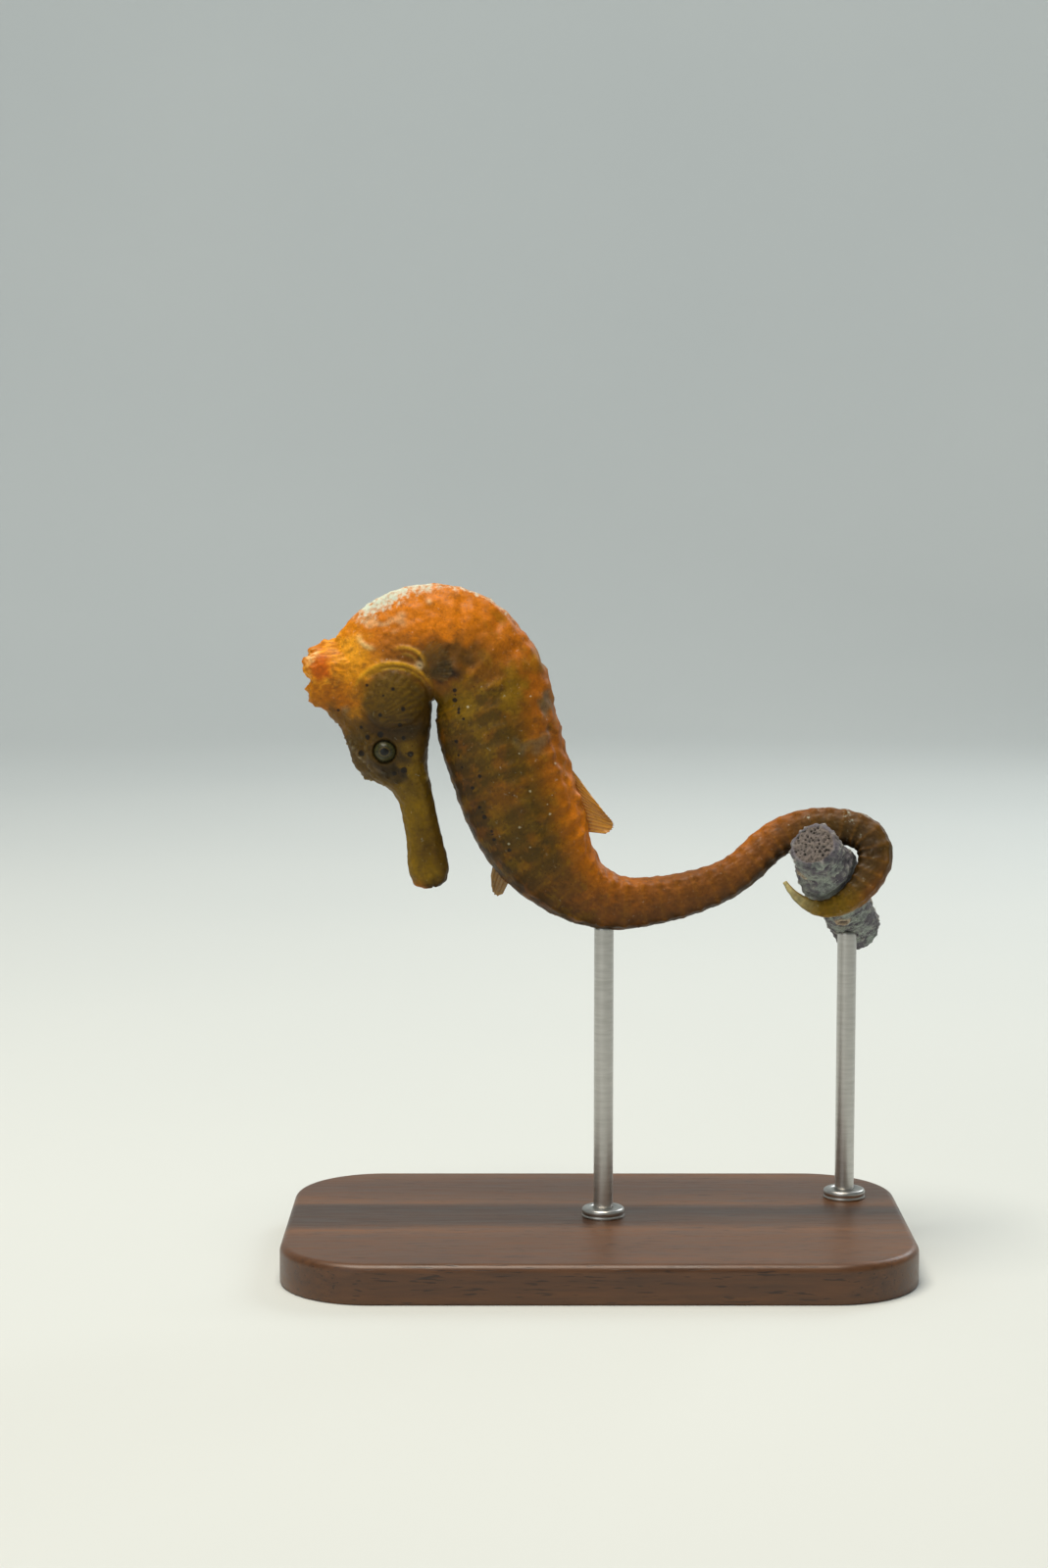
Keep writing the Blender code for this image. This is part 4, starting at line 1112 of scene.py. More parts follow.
def fin_finish(name, tint):
    """Fin membrane: a thin clear film between bony rays, yellowish, glossy where wet; the rays are denser."""
    finish, tree, shader = finish_named(name, Roughness=0.35, IOR=1.38, Coat_Weight=0.2, Coat_Roughness=0.2)
    place = node(tree, PLACE).outputs["Object"]
    ray = node(tree, READ, attribute_name="ray").outputs["Fac"]
    mottle = node(tree, NOISE, {"Vector": place, "Scale": per_mm(0.7), "Detail": 3.0}).outputs["Fac"]
    colour = node(tree, MIX, {0: ray, 6: tint[0], 7: tint[1]}, **COLOURS).outputs[2]
    dark = node(tree, RANGE, {0: mottle, 1: 0.5, 2: 0.75, 3: 0.0, 4: 0.55}, **SOFT).outputs[0]
    colour = node(tree, MIX, {0: dark, 6: colour, 7: tint[2]}, **COLOURS).outputs[2]
    tree.links.new(colour, shader.inputs["Base Color"])
    solid = node(tree, RANGE, {0: ray, 1: 0.0, 2: 1.0, 3: tint[3], 4: tint[4]}).outputs[0]
    tree.links.new(solid, shader.inputs["Alpha"])
    return finish


def add_fin(name, feet, rays, thick, count, finish, node_name):
    """A fan of bony rays with thin membrane between them, closed round its edge.

    feet, rays and thick are the foot, full ray and thickness direction at each step along the base. A point
    is its foot plus its share of the ray; the margin is notched between rays and rounded at its two corners;
    the sheet waves sideways towards it.
    """
    steps = len(feet)
    place = np.linspace(0, 1, steps)[:, None]
    ridge = abs(np.cos(np.pi * place * (count - 1))) ** 6
    share = np.linspace(0, 1, RAY_POINTS)[None]
    reach = share * (1 - 0.05 * (1 - ridge) * share**2) * (1 - 0.2 * abs(2 * place - 1) ** 5)
    half = MEMBRANE + (RAY_THICKNESS - MEMBRANE) * ridge * (1 - 0.75 * share)
    half = half * (1 - 0.8 * smooth_step(share, 0.9, 1.0))
    sway = 0.32 * np.sin(TURN * place * 1.6 + 1.0) + 0.12 * np.sin(TURN * place * (count - 1) / 2)
    sway = sway * share**2
    middle = feet[:, None] + reach[..., None] * rays[:, None] + sway[..., None] * thick[:, None]
    off = half[..., None] * thick[:, None]
    ring = np.concatenate([middle + off, (middle - off)[:, ::-1]], axis=1)
    dense = np.clip(ridge * (1 - 0.35 * share) + 0.9 * smooth_step(share, 0.22, 0.0), 0, 1)
    ray = np.concatenate([dense, dense[:, ::-1]], axis=1)[..., None]
    fin = add_tube(name, ring, finish, {"ray": ray})
    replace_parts(fin, node_name)


def add_midline_fin(name, start, end, lengths, tilts, side, count, finish):
    """A fin on the middle line of the back (side 1) or the belly (-1), its rays at even steps down it.

    The rays lean tailwards by a tilt that runs evenly from the first to the last, and their lengths follow a
    parabola through the three given.
    """
    along = np.linspace(start, end, (count - 1) * RAY_GAP + 1)
    share = np.linspace(0, 1, len(along))
    up, tailward, right = (at(values, along) for values in (BACK, DIRECTION, RIGHT))
    back, belly, _ = girth(along)
    tilt = np.radians(tilts[0] + (tilts[1] - tilts[0]) * share)[:, None]
    ray = side * up * np.cos(tilt) + tailward * np.sin(tilt)
    foot = at(AXIS, along) + side * up * ((back if side > 0 else belly) + 0.58 - ROOTED)[:, None]
    length = np.polyval(np.polyfit([0, 0.5, 1], lengths, 2), share)[:, None] + ROOTED
    add_fin(name + "_membrane", foot, ray * length, right, count, finish, name)


def add_pectoral_fin(name, side, finish):
    """The fan behind a gill cover: rays turned evenly up and down from a line tailwards and outwards.

    Their feet stand one over the other, and the outer rays are shorter by the square of their place.
    """
    up, tailward, right = (at(values, PECTORAL_ALONG) for values in (BACK, DIRECTION, RIGHT))
    half_width = girth(np.array(PECTORAL_ALONG))[2]
    outward = side * right
    flare = np.radians(PECTORAL_FLARE)
    root = at(AXIS, PECTORAL_ALONG) + outward * (half_width + 0.9 - ROOTED)
    thick = outward * np.cos(flare) - tailward * np.sin(flare)
    share = np.linspace(-1, 1, (PECTORAL_RAYS - 1) * RAY_GAP + 1)[:, None]
    turn = np.radians(PECTORAL_SPREAD) * share
    ray = np.cos(turn) * (tailward * np.cos(flare) + outward * np.sin(flare)) + np.sin(turn) * up
    feet = root + up * share * PECTORAL_BASE / 2 - PECTORAL_SUNK * tailward
    rays = ray * (PECTORAL_LENGTH + PECTORAL_SUNK) * (1 - 0.22 * share**2)
    thick = np.repeat(thick[None], len(share), 0)
    add_fin(name + "_membrane", feet, rays, thick, PECTORAL_RAYS, finish, name)


# --- The sponge branch ----------------------------------------------------------------------------

PERCH_DIRECTION = np.array([0.30, 0.80, -0.52])  # away from the viewer, down and right
PERCH_RADIUS = 3.7
PERCH_SHIFT = np.array([0.3, 0.0, -0.7])
PERCH_NEAR, PERCH_FAR = 9.5, 23.0
PERCH_ROWS, PERCH_COLUMNS, CAP_ROWS = 230, 180, 26
TAIL_CLEARANCE = 0.12
SWELL, SWELL_LENGTH = 0.9, 3.2  # the sponge bulges by up to this much inside the coil
KNOB_SPACING, PIT_SPACING = 1.35, 0.7
LUMP_RELIEF, KNOB_RELIEF, WRINKLE_RELIEF, GRIT_RELIEF = 0.16, 0.42, 0.06, 0.03
VENT_RIM, VENT_DEPTH, PIT_DEPTH = 0.42, 1.7, 0.4
BRANCH_THREADS, NAPE_THREADS = ((0.35, 1.3), 0.035), ((0.2, 0.65), 0.026)  # shortest and longest, radius
THREAD_TRIES = 1500
VENTS = (  # the sponge's outlets: distance past the coil's middle, degrees round, radius
    (7.8, 118, 1.0),
    (14.6, 40, 0.9),
    (19.0, 150, 0.8),
    (-5.6, 235, 0.8),
    (11.0, 280, 0.95),
)


def perch_frame():
    """Middle of the coil, direction of the branch, and two directions across it."""
    direction = unit(PERCH_DIRECTION)
    across = unit(np.cross(direction, [0, 0, 1.0]))
    return COIL_MIDDLE + PERCH_SHIFT, direction, across, np.cross(across, direction)


def tail_gap(points):
    """Distance from each point to the surface of the coiled tail, taken as a round rod along the axis."""
    coil = ALONG > COIL_START
    line, thick = AXIS[coil][::3], np.maximum(*girth(ALONG[coil][::3])[:2]) + 0.5
    flat = points.reshape(-1, 3)
    square = (flat**2).sum(1)[:, None] + (line**2).sum(1) - 2 * flat @ line.T
    return (np.sqrt(np.maximum(square, 0)) - thick).min(1).reshape(points.shape[:-1])


def add_perch():
    """A cut length of branch: rings along it with soft lumps and pointed knobs, and craters for its outlets.

    Each end is a cap whose rings shrink to the middle, pitted where the branch was cut. Where the tail grips,
    the branch gives way, and it swells into the room left inside the coil.
    """
    middle, direction, across, above = perch_frame()
    length = PERCH_NEAR + PERCH_FAR
    cap = np.linspace(0.03, 1, CAP_ROWS)
    share_of_radius = np.concatenate([cap, np.ones(PERCH_ROWS), cap[::-1]])[:, None]
    run = np.pad(np.linspace(0, length, PERCH_ROWS), CAP_ROWS, "edge")[:, None]
    angle = (np.arange(PERCH_COLUMNS) * TURN / PERCH_COLUMNS)[None]
    end = np.minimum(run, length - run)
    rounding = 1 - 0.16 * np.maximum(1 - end / 1.1, 0) ** 2.2
    around = np.cos(angle)[..., None] * across + np.sin(angle)[..., None] * above
    line = middle + direction * (run - PERCH_NEAR)[..., None]
    core = line + around * PERCH_RADIUS * share_of_radius[..., None]
    cut = smooth_step(share_of_radius, 1.0, 0.93)
    cells = round(TURN * PERCH_RADIUS / KNOB_SPACING)
    spot, lot = nearest_spots(run, angle / TURN * cells * KNOB_SPACING, KNOB_SPACING, seed=41, columns=cells)
    knob = np.maximum(0, 1 - spot / 0.62) ** 1.6 * (0.35 + 0.65 * lot)
    lump = ripples(core, 5.5, 42)
    wrinkle = ripples(core, 1.1, 43)
    out = LUMP_RELIEF * lump + KNOB_RELIEF * knob + WRINKLE_RELIEF * wrinkle
    out += GRIT_RELIEF * ripples(core, 0.5, 44)
    vent_rim, vent_pit = 0 * out, 0 * out
    for place, degrees, radius in VENTS:
        turn = (angle - np.radians(degrees) + np.pi) % TURN - np.pi
        away = np.hypot(run - PERCH_NEAR - place, turn * PERCH_RADIUS) / radius
        vent_rim = np.maximum(vent_rim, bell(away, 1.0, 0.3))
        vent_pit = np.maximum(vent_pit, 1 - smooth_step(away, 0.42, 0.86))
        out = out * smooth_step(away, 0.4, 1.5) + VENT_RIM * bell(away, 0.95, 0.45)
    out -= VENT_DEPTH * vent_pit
    radius = (PERCH_RADIUS * rounding + out * (1 - cut)) * share_of_radius
    facing = np.where(run < length / 2, -1.0, 1.0)
    pit, pit_lot = nearest_spots(core @ across, core @ above, PIT_SPACING, seed=45, spread=0.95)
    hollow = np.maximum(0, 1 - (pit / (0.16 + 0.3 * pit_lot**2)) ** 2)
    face = 0.25 * (1 - share_of_radius**2) + 0.1 * wrinkle - PIT_DEPTH * hollow * pit_lot - 0.12
    points = line + radius[..., None] * around + (facing * face * cut)[..., None] * direction
    swelling = np.clip(tail_gap(points) - TAIL_CLEARANCE, 0, SWELL)
    swelling = swelling * np.exp(-(((run - PERCH_NEAR) / SWELL_LENGTH) ** 4))
    points = points + swelling[..., None] * around
    gap = tail_gap(points)
    pressed = np.clip(TAIL_CLEARANCE - gap, 0, 1.6)
    points = points - pressed[..., None] * around

    lit = smooth_step(grid_normals(points)[..., 2], -0.2, 0.9)
    film = ripples(core, 2.6, 46)
    uncut = 1 - cut
    colour = np.broadcast_to(linear("#5f5a62"), points.shape)
    for hue, share in (
        # darker in the hollows between the soft lumps: painted shade
        ("#3f3b44", 0.7 * smooth_step(-lump - 0.5 * wrinkle, 0.0, 1.2)),
        ("#a7a59c", (0.3 + 0.4 * lot) * smooth_step(knob + 0.08 * wrinkle, 0.1, 0.7)),
        # pale grey-green over the upward-facing side, in patches: painted light from above
        ("#a3afa2", lit * 0.75 * smooth_step(film + 0.6 * wrinkle, -0.9, 0.8)),
        ("#6d5a3e", 0.35 * smooth_step(ripples(core, 6.0, 47), 0.8, 1.6)),
        ("#c9b393", 0.85 * vent_rim * uncut),
        ("#a5703c", 0.5 * vent_rim * smooth_step(wrinkle, 0, 1) * uncut),
        # near black inside the outlets: painted shade in their craters
        ("#100b09", vent_pit * uncut),
        ("#6d6259", cut * (0.75 + 0.1 * wrinkle)),
        # dark in the pits of the cut ends: painted shade
        ("#2c2520", cut * 0.85 * smooth_step(hollow, 0.0, 0.5)),
        # pale green by the tail's grip, on the lit side only: partly a pale film and partly painted light
        ("#b9c4b2", 0.3 * smooth_step(pressed, 0.1, 0.0) * smooth_step(gap, 0.9, 0.2) * lit),
    ):
        colour = lay(colour, hue, share)
    tint = np.concatenate([np.clip(colour, 0, 1), np.ones((*colour.shape[:2], 1))], -1)
    perch = add_tube("branch", points, sponge_finish(), {"tint": tint})
    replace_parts(perch, "perch")

    random = np.random.default_rng(48)
    rows = random.integers(CAP_ROWS + 6, CAP_ROWS + PERCH_ROWS - 6, THREAD_TRIES)
    columns = random.integers(0, PERCH_COLUMNS, THREAD_TRIES)
    wanted = (gap[rows, columns] > 0.7) & (vent_pit[rows, columns] < 0.05)
    wanted &= random.uniform(0, 1, THREAD_TRIES) < 0.35 + 0.65 * lit[rows, columns]
    rows, columns = rows[wanted], columns[wanted]
    normal = grid_normals(points)[rows, columns]
    places = np.column_stack([rows / len(run), columns / PERCH_COLUMNS])
    roots = points[rows, columns]
    add_hairs("branch_fuzz", roots, normal, places, *BRANCH_THREADS, fuzz_finish(), "sponge", seed=49)


def sponge_finish():
    """Rope sponge: soft, matt and fibrous, mauve grey with pale knob tips, pricked all over with pores."""
    finish, tree, shader = finish_named(
        "fibrous_rope_sponge", Roughness=0.85, Sheen_Weight=0.15, Sheen_Roughness=0.5
    )
    place = node(tree, PLACE).outputs["Object"]
    tint = node(tree, READ, attribute_name="tint").outputs["Color"]
    fibres = {"Vector": place, "Scale": per_mm(0.3), "Detail": 5.0, "Roughness": 0.7}
    fibre = node(tree, NOISE, fibres).outputs["Fac"]
    # pores 0.35 mm apart, darkened in them as painted shade
    pore = node(tree, CELLS, {"Vector": place, "Scale": per_mm(0.35)}).outputs["Distance"]
    shade = node(tree, RANGE, {0: fibre, 1: 0.3, 2: 0.7, 3: 0.6, 4: 1.35}).outputs[0]
    colour = node(tree, MIX, {0: 1.0, 6: tint, 7: shade}, **SHADED).outputs[2]
    dark = node(tree, RANGE, {0: pore, 1: 0.28, 2: 0.12, 3: 0.0, 4: 0.6}, **SOFT).outputs[0]
    colour = node(tree, MIX, {0: dark, 6: colour, 7: "#211c24"}, **COLOURS).outputs[2]
    tree.links.new(colour, shader.inputs["Base Color"])
    height = node(tree, MATH, {0: pore, 1: 0.6, 2: fibre}, operation="MULTIPLY_ADD").outputs[0]
    bump = node(tree, BUMP, {"Height": height, "Strength": 0.8, "Distance": 0.12 * MM}).outputs[0]
    tree.links.new(bump, shader.inputs["Normal"])
    return finish


def fuzz_finish():
    """Fine algal fuzz: soft pale green-white threads, matt, a little darker in clumps."""
    finish, tree, shader = finish_named("algal_fuzz", Roughness=0.8)
    place = node(tree, PLACE).outputs["Object"]
    clump = node(tree, NOISE, {"Vector": place, "Scale": per_mm(1.5), "Detail": 2.0}).outputs["Fac"]
    ramp = node(tree, RAMP, {"Fac": clump}, stops=((0.3, "#aab5a0"), (0.7, "#e2e6d8")))
    tree.links.new(ramp.outputs["Color"], shader.inputs["Base Color"])
    return finish


THREAD_PATCH = 0.003  # each thread's share of the unwrap


def add_hairs(name, roots, normals, places, lengths, radius, finish, slot, seed):
    """Fine threads in one mesh: each is a three-sided tapering tube along a bend that droops and strays.

    places are the roots' places on the unwrapped surface, down it and round it, from 0 to 1. On the map
    OFBake each thread is a small patch there.
    """
    random = np.random.default_rng(seed)
    count, steps, sides = len(roots), 5, 3
    length = random.uniform(*lengths, count)[:, None, None]
    stray = random.normal(size=(count, 3))
    lean = unit(normals + 0.55 * stray)[:, None]
    curl = unit(np.cross(normals, random.normal(size=(count, 3))))[:, None]
    share = np.linspace(0, 1, steps)[None, :, None]
    bend = 0.45 * share**2 * random.uniform(-1, 1, (count, 1, 1))
    line = roots[:, None] + length * (lean * share + curl * bend) - 0.08 * normals[:, None]
    across = unit(np.cross(lean, curl + 0.3 * lean))
    angle = np.arange(sides) * TURN / sides
    ring = np.cos(angle)[:, None] * across[..., None, :]
    ring = ring + np.sin(angle)[:, None] * np.cross(lean, across)[..., None, :]
    points = line[:, :, None] + ring * (radius * (1 - 0.85 * share))[..., None]
    base = (np.arange(count) * steps * sides)[:, None, None]
    i, j = np.arange(steps - 1)[None, :, None], np.arange(sides)[None, None]
    k = (j + 1) % sides
    low, high = base + i * sides, base + (i + 1) * sides
    quads = np.stack([low + j, low + k, high + k, high + j], -1).reshape(-1, 4)
    ends = base[:, 0, 0][:, None]
    foot, tip = ends + np.array([0, 2, 1]), ends + (steps - 1) * sides + np.array([0, 1, 2])
    threads = add_mesh(name, points.reshape(-1, 3), quads, np.concatenate([foot, tip]), finish)
    patch = np.meshgrid(np.linspace(0, 1, steps), np.linspace(0, 1, sides), indexing="ij")
    unwrapped = (places[:, None, None] + THREAD_PATCH * np.stack(patch, -1)).reshape(-1, 2)
    corners = np.empty(len(threads.data.loops), int)
    threads.data.loops.foreach_get("vertex_index", corners)
    unwrap = threads.data.uv_layers.new(name="OFBake")
    unwrap.data.foreach_set("uv", unwrapped[corners].astype(np.float32).ravel())


def add_nape_fuzz(skin):
    """Pale threads of algae where the film is thick, short of the neck's highest point."""
    mesh, count = skin.data, len(skin.data.vertices)
    positions, normals, film = np.empty(count * 3), np.empty(count * 3), np.empty(count)
    mesh.vertices.foreach_get("co", positions)
    mesh.vertex_normals.foreach_get("vector", normals)
    mesh.attributes["film"].data.foreach_get("value", film)
    positions, normals = positions.reshape(-1, 3) / MM, normals.reshape(-1, 3)
    highest = solid_box("neck")[1][2] - NAPE_THREADS[0][1] - 0.1
    random = np.random.default_rng(51)
    index = np.flatnonzero((random.uniform(0, 1, count) < 0.12 * film**2) & (positions[:, 2] < highest))
    places = np.column_stack([index / count, index % SKIN_COLUMNS / SKIN_COLUMNS])
    roots = positions[index]
    add_hairs("nape_fuzz", roots, normals[index], places, *NAPE_THREADS, fuzz_finish(), "skin", seed=52)


# --- The stand ------------------------------------------------------------------------------------

BOARD_CORNER, BOARD_EDGE, BOARD_FOOT = 14.0, 1.2, 0.4  # radii of its corners, upper edge and lower edge
BOARD_FLANK, CORNER_STEPS = (1.6, 3.2), 25  # heights of the rings on its upright sides
BOARD_INWARD = (0.985, 0.9, 0.7, 0.45, 0.2, 0.02)  # sizes of the rings on its flat faces, as shares
COLLAR_REACH, COLLAR_HEIGHT, COLLAR_BEVEL, COLLAR_GAP = 3.3, 1.5, 0.5, 0.04
COLLAR_GROOVE = ((0.62, 0.0), (0.5, 0.18), (0.38, 0.0))  # height over the board, depth
ROD_SUNK = 0.6  # how far a rod's top reaches into what it carries


def add_board():
    """The base: a rounded oblong carried up a softened edge, and drawn in to the middle at top and bottom."""
    low, high = solid_box("stand_base")
    middle, half = (low + high) / 2, (high - low) / 2
    top = high[2]
    quarter = np.linspace(0, 90, CORNER_STEPS)
    turn = np.radians(np.concatenate([start + quarter for start in (0, 90, 180, 270)]))
    corner = np.repeat([[1, 1], [-1, 1], [-1, -1], [1, -1]], CORNER_STEPS, axis=0)
    outward = np.stack([np.cos(turn), np.sin(turn)], -1)

    def ring(inset, height, share=1.0):
        """The outline at a height, drawn in by an inset and then to a share of its size."""
        flat = corner * (half[:2] - BOARD_CORNER) + outward * (BOARD_CORNER - inset)
        return np.column_stack([middle[:2] + flat * share, np.full(len(flat), height)])

    lower, upper = np.radians(np.linspace(0, 90, 4)), np.radians(np.linspace(0, 90, 10))
    profile = [(BOARD_FOOT * (1 - np.sin(a)), BOARD_FOOT * (1 - np.cos(a))) for a in lower]
    profile += [(0.0, height) for height in BOARD_FLANK]
    profile += [(BOARD_EDGE * (1 - np.cos(a)), top - BOARD_EDGE * (1 - np.sin(a))) for a in upper]
    rings = [ring(BOARD_FOOT, 0.0, share) for share in BOARD_INWARD[::-1]]
    rings += [ring(inset, height) for inset, height in profile]
    rings += [ring(*profile[-1], share) for share in BOARD_INWARD]
    board = add_tube("board", np.stack(rings), walnut_finish())
    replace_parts(board, "stand_base")


def walnut_finish():
    """Oiled walnut: brown wood planed along the grain, with growth bands and fine dark pores, satin."""
    finish, tree, shader = finish_named("oiled_walnut", Roughness=0.4, Coat_Weight=0.15, Coat_Roughness=0.3)
    place = node(tree, PLACE).outputs["Object"]
    drawn_out = {"Vector": place, "Location": (0, 0.021, 0.05), "Scale": (0.09, 1, 1)}
    along_x = node(tree, MAPPING, drawn_out).outputs[0]
    sway = node(tree, NOISE, {"Vector": along_x, "Scale": per_mm(16), "Detail": 2.0}).outputs["Color"]
    bent = node(tree, MIX, {0: 0.012, 6: along_x, 7: sway}, **COLOURS).outputs[2]
    # growth bands 3 mm apart
    waves = {"Vector": bent, "Scale": per_mm(3) / 20, "Distortion": 2.5, "Detail": 3.0, "Detail Scale": 1.5}
    bands = node(tree, "ShaderNodeTexWave", waves, wave_type="RINGS", rings_direction="X").outputs["Fac"]
    streaked = {"Vector": along_x, "Scale": per_mm(0.9), "Detail": 4.0, "Roughness": 0.6}
    streaks = node(tree, NOISE, streaked).outputs["Fac"]
    browns = ((0.0, "#55341a"), (0.55, "#6e4624"), (1.0, "#3c230f"))
    colour = node(tree, RAMP, {"Fac": bands}, stops=browns).outputs[0]
    shade = node(tree, RANGE, {0: streaks, 1: 0.3, 2: 0.7, 3: 0.7, 4: 1.25}).outputs[0]
    colour = node(tree, MIX, {0: 1.0, 6: colour, 7: shade}, **SHADED).outputs[2]
    # pores: dark lines 0.25 mm wide, ten times as long
    pores = node(tree, NOISE, {"Vector": along_x, "Scale": per_mm(0.3), "Detail": 1.0}).outputs["Fac"]
    pore = node(tree, RANGE, {0: pores, 1: 0.62, 2: 0.72, 3: 0.0, 4: 0.7}, **SOFT).outputs[0]
    colour = node(tree, MIX, {0: pore, 6: colour, 7: "#1d110a"}, **COLOURS).outputs[2]
    tree.links.new(colour, shader.inputs["Base Color"])
    rough = node(tree, RANGE, {0: streaks, 1: 0.3, 2: 0.7, 3: 0.34, 4: 0.48}).outputs[0]
    tree.links.new(rough, shader.inputs["Roughness"])
    bump = node(tree, BUMP, {"Height": pore, "Strength": 0.5, "Distance": 0.05 * MM}, invert=True).outputs[0]
    tree.links.new(bump, shader.inputs["Normal"])
    return finish


def steel_finish():
    """Brushed stainless rod: turned and brushed round its length, so highlights are soft rings."""
    finish, tree, shader = finish_named("brushed_stainless_rod", Metallic=1.0, Roughness=0.3)
    place = node(tree, PLACE).outputs["Object"]
    flat = node(tree, MAPPING, {"Vector": place, "Scale": (0.15, 0.15, 1)}).outputs[0]
    # brush lines 0.5 mm apart, coarser than real ones, so that they show
    brush = node(tree, NOISE, {"Vector": flat, "Scale": per_mm(0.5), "Detail": 2.0}).outputs["Fac"]
    ramp = node(tree, RAMP, {"Fac": brush}, stops=((0.3, "#b4b2ae"), (0.7, "#c6c4c0")))
    tree.links.new(ramp.outputs["Color"], shader.inputs["Base Color"])
    rough = node(tree, RANGE, {0: brush, 1: 0.3, 2: 0.7, 3: 0.3, 4: 0.38}).outputs[0]
    tree.links.new(rough, shader.inputs["Roughness"])
    bump = node(tree, BUMP, {"Height": brush, "Strength": 0.08, "Distance": 0.01 * MM}).outputs[0]
    tree.links.new(bump, shader.inputs["Normal"])
    return finish


def add_mount_fittings():
    """The two rods, rounder than the solids so that highlights run smooth, each with a collar on the board.

    A collar is a closed outline of reach and height, bevelled and grooved, turned round its rod.
    """
    steel = steel_finish()
    board_top = solid_box("stand_base")[1][2]
    quarter = np.radians(np.linspace(0, 90, 7))
    inset = 1 - np.stack([np.sin(quarter), np.cos(quarter)], -1)
    bevel = (COLLAR_REACH, COLLAR_HEIGHT) - COLLAR_BEVEL * inset
    for name in ("stand_rod_body", "stand_rod_perch"):
        low, high = solid_box(name)
        x, y = (low[:2] + high[:2]) / 2
        radius = (high[0] - low[0]) / 2
        rod = turned(x, y, radius, [low[2], low[2] + 0.5, high[2], high[2] + ROD_SUNK])
        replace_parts(add_tube(name[6:], rod, steel), name)

        inner = radius + COLLAR_GAP
        outline = [(inner, 0.0), (inner, COLLAR_HEIGHT), *bevel]
        outline += [(COLLAR_REACH - depth, height) for height, depth in COLLAR_GROOVE]
        reach, height = np.array([*outline, (COLLAR_REACH, 0.0)]).T
        ring = turned(x, y, reach, board_top + height)
        quads = grid_quads(*ring.shape[:2], ring=True)
        add_mesh("collar_" + name[6:], ring.reshape(-1, 3), quads, np.zeros((0, 3), int), steel)


# --- Floor, light and camera ----------------------------------------------------------------------

FLOOR_REACH, FLOOR_BEND, WALL_TOP = 0.9, 0.5, 0.9  # metres
FLOOR_SIDES = 120


def add_backdrop():
    """Floor and backdrop in one pale sheet: a round floor that turns up into a low wall all round."""
    bend = np.radians(np.linspace(0, 90, 25))
    reach = np.append(FLOOR_REACH + FLOOR_BEND * np.sin(bend), FLOOR_REACH + FLOOR_BEND)
    height = np.append(FLOOR_BEND * (1 - np.cos(bend)), WALL_TOP)
    points = turned(0, 0, reach, height, FLOOR_SIDES).reshape(-1, 3)
    quads = grid_quads(len(reach), FLOOR_SIDES)[:, ::-1]
    mesh = bpy.data.meshes.new("backdrop")
    mesh.from_pydata(points.tolist(), [], [list(range(FLOOR_SIDES)), *quads.tolist()])
    mesh.shade_smooth()
    finish, tree, shader = finish_named("matt_backdrop_paper", Roughness=0.9)
    shade = node(tree, NOISE, {"Vector": node(tree, PLACE).outputs["Object"], "Scale": 3.0}).outputs["Fac"]
    ramp = node(tree, RAMP, {"Fac": shade}, stops=((0.2, "#cfd4d3"), (0.8, "#d6dad8")))
    tree.links.new(ramp.outputs["Color"], shader.inputs["Base Color"])
    mesh.materials.append(finish)
    sheet = bpy.data.objects.new("backdrop", mesh)
    bpy.context.scene.collection.objects.link(sheet)


def aim(thing, target):
    """Turns a lamp or camera at a place to look at a target."""
    direction = np.array(target) - np.array(thing.location)
    tilt = np.arctan2(np.hypot(*direction[:2]), -direction[2])
    thing.rotation_euler = (tilt, 0, np.arctan2(direction[1], direction[0]) - np.pi / 2)


def add_lamp(name, place, size, watts, colour, target):
    """A round lamp, its size in metres, that looks at a target."""
    lamp = bpy.data.lights.new(name, "AREA")
    lamp.shape, lamp.size, lamp.energy, lamp.color = "DISK", size, watts, linear(colour)
    thing = bpy.data.objects.new(name, lamp)
    thing.location = place
    bpy.context.scene.collection.objects.link(thing)
    aim(thing, target)


CAMERA_FALL = 6  # degrees that the view looks down
CAMERA_DISTANCE, CAMERA_TARGET = 0.45, (-0.0113, 0.0, 0.0735)
VIEW_HEIGHT = 0.240  # metres seen from bottom to top at the target
FILM_HEIGHT = 36  # millimetres


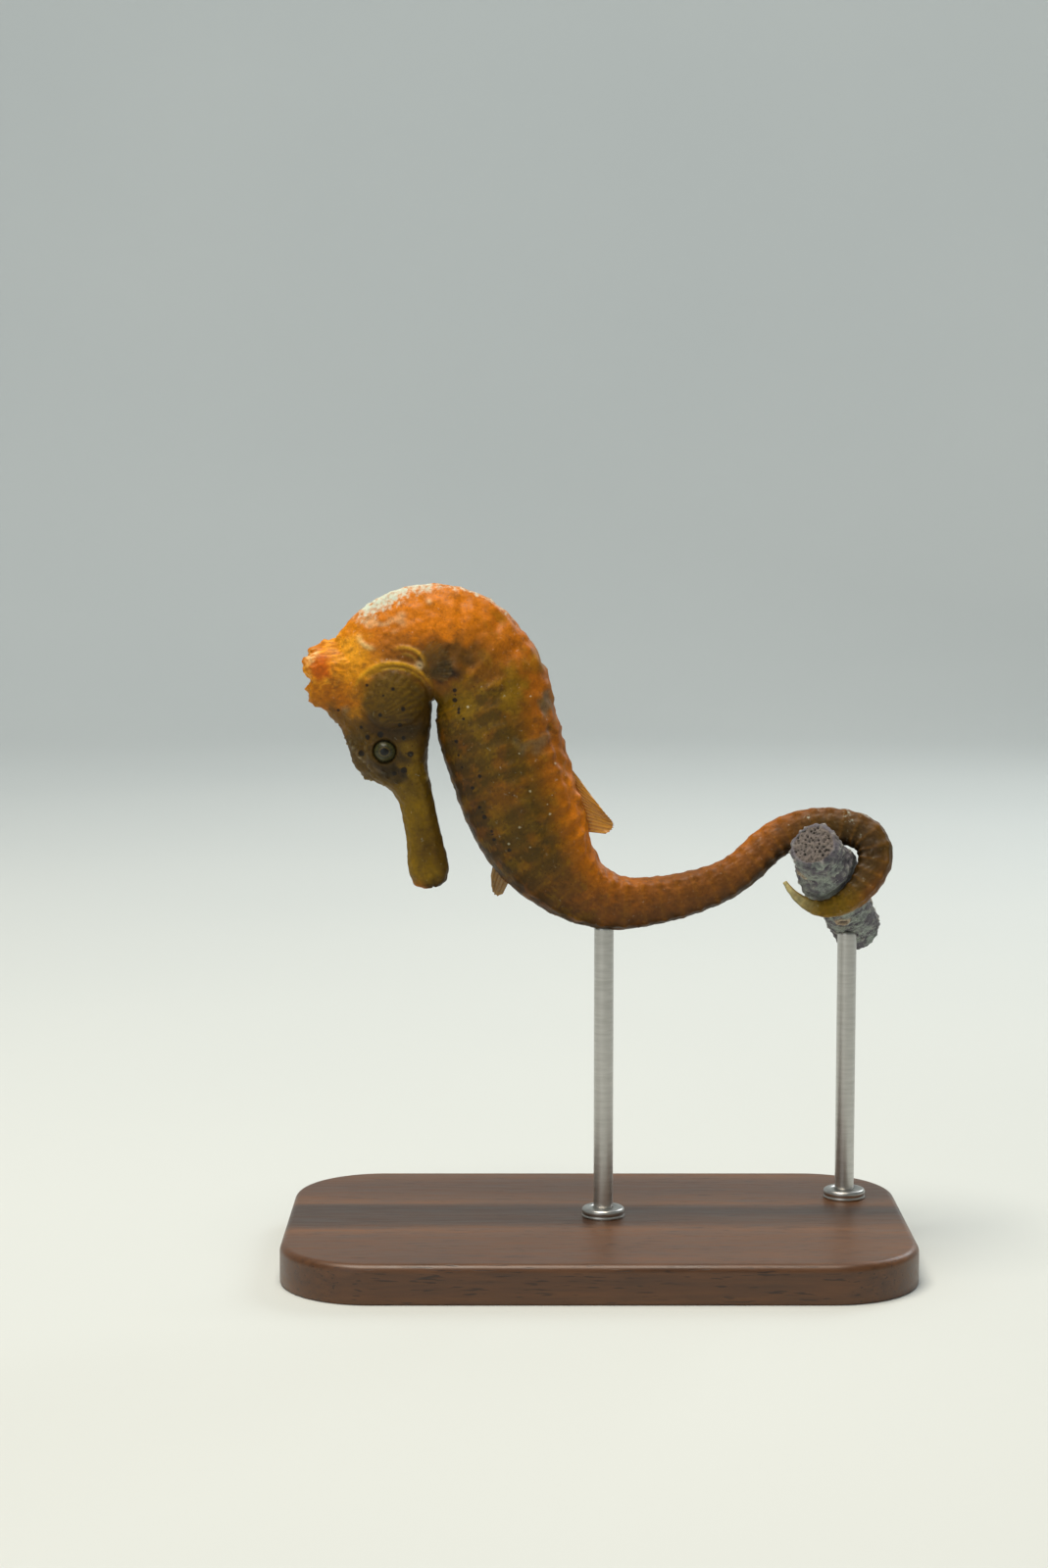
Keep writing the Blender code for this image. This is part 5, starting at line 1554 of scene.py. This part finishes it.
def add_camera():
    """The view from the animal's left side and a little above; its lens shows VIEW_HEIGHT at the target."""
    camera = bpy.data.cameras.new("camera")
    camera.sensor_fit, camera.sensor_height = "VERTICAL", FILM_HEIGHT
    camera.lens = FILM_HEIGHT * CAMERA_DISTANCE / VIEW_HEIGHT
    camera.clip_start, camera.clip_end = 0.01, 20
    thing = bpy.data.objects.new("camera", camera)
    fall = np.radians(CAMERA_FALL)
    thing.location = np.array(CAMERA_TARGET) + CAMERA_DISTANCE * np.array([0, -np.cos(fall), np.sin(fall)])
    bpy.context.scene.collection.objects.link(thing)
    aim(thing, CAMERA_TARGET)
    bpy.context.scene.camera = thing


def add_light():
    """A warm lamp overhead, a weak fill in front, a cool rim behind, one on the backdrop, and dim air."""
    model, wall = (-0.01, 0.0, 0.07), (0.0, 1.4, 0.55)
    add_lamp("overhead", (-0.12, -0.12, 0.75), 0.5, 6.0, "#fff6e6", model)
    add_lamp("front_fill", (-0.45, -0.75, 0.35), 0.7, 0.9, "#f4f6f8", model)
    add_lamp("back_rim", (0.45, 0.55, 0.5), 0.4, 1.6, "#f4fafc", model)
    add_lamp("backdrop_wash", (0.0, 0.35, 1.1), 0.6, 5.0, "#f4f8fa", wall)
    world = bpy.data.worlds.new("studio_air")
    world.use_nodes = True
    air = world.node_tree.nodes["Background"].inputs
    air["Color"].default_value = (*linear("#dfe9ee"), 1)
    air["Strength"].default_value = 0.24
    bpy.context.scene.world = world
    bpy.context.scene.view_settings.view_transform = "Standard"


# --- All the pieces, one after the other ----------------------------------------------------------

skin = add_skin()
iris = eye_finish()
add_eye("eye_left", -1, iris)
add_eye("eye_right", 1, iris)
yellow_fin = fin_finish("yellow_fin_membrane", ("#d29212", "#ab5e08", "#96600c", 0.8, 0.97))
brown_fin = fin_finish("brown_fin_membrane", ("#9c7224", "#7f5212", "#5e4212", 0.8, 0.97))
clear_fin = fin_finish("clear_fin_membrane", ("#8a6c2c", "#5e4312", "#4a3612", 0.08, 0.35))
add_midline_fin("dorsal_fin", *DORSAL_FIN, yellow_fin)
add_midline_fin("anal_fin", *ANAL_FIN, brown_fin)
add_pectoral_fin("pectoral_fin_left", -1, clear_fin)
add_pectoral_fin("pectoral_fin_right", 1, clear_fin)
add_nape_fuzz(skin)
add_perch()
add_board()
add_mount_fittings()
add_backdrop()
add_light()
add_camera()
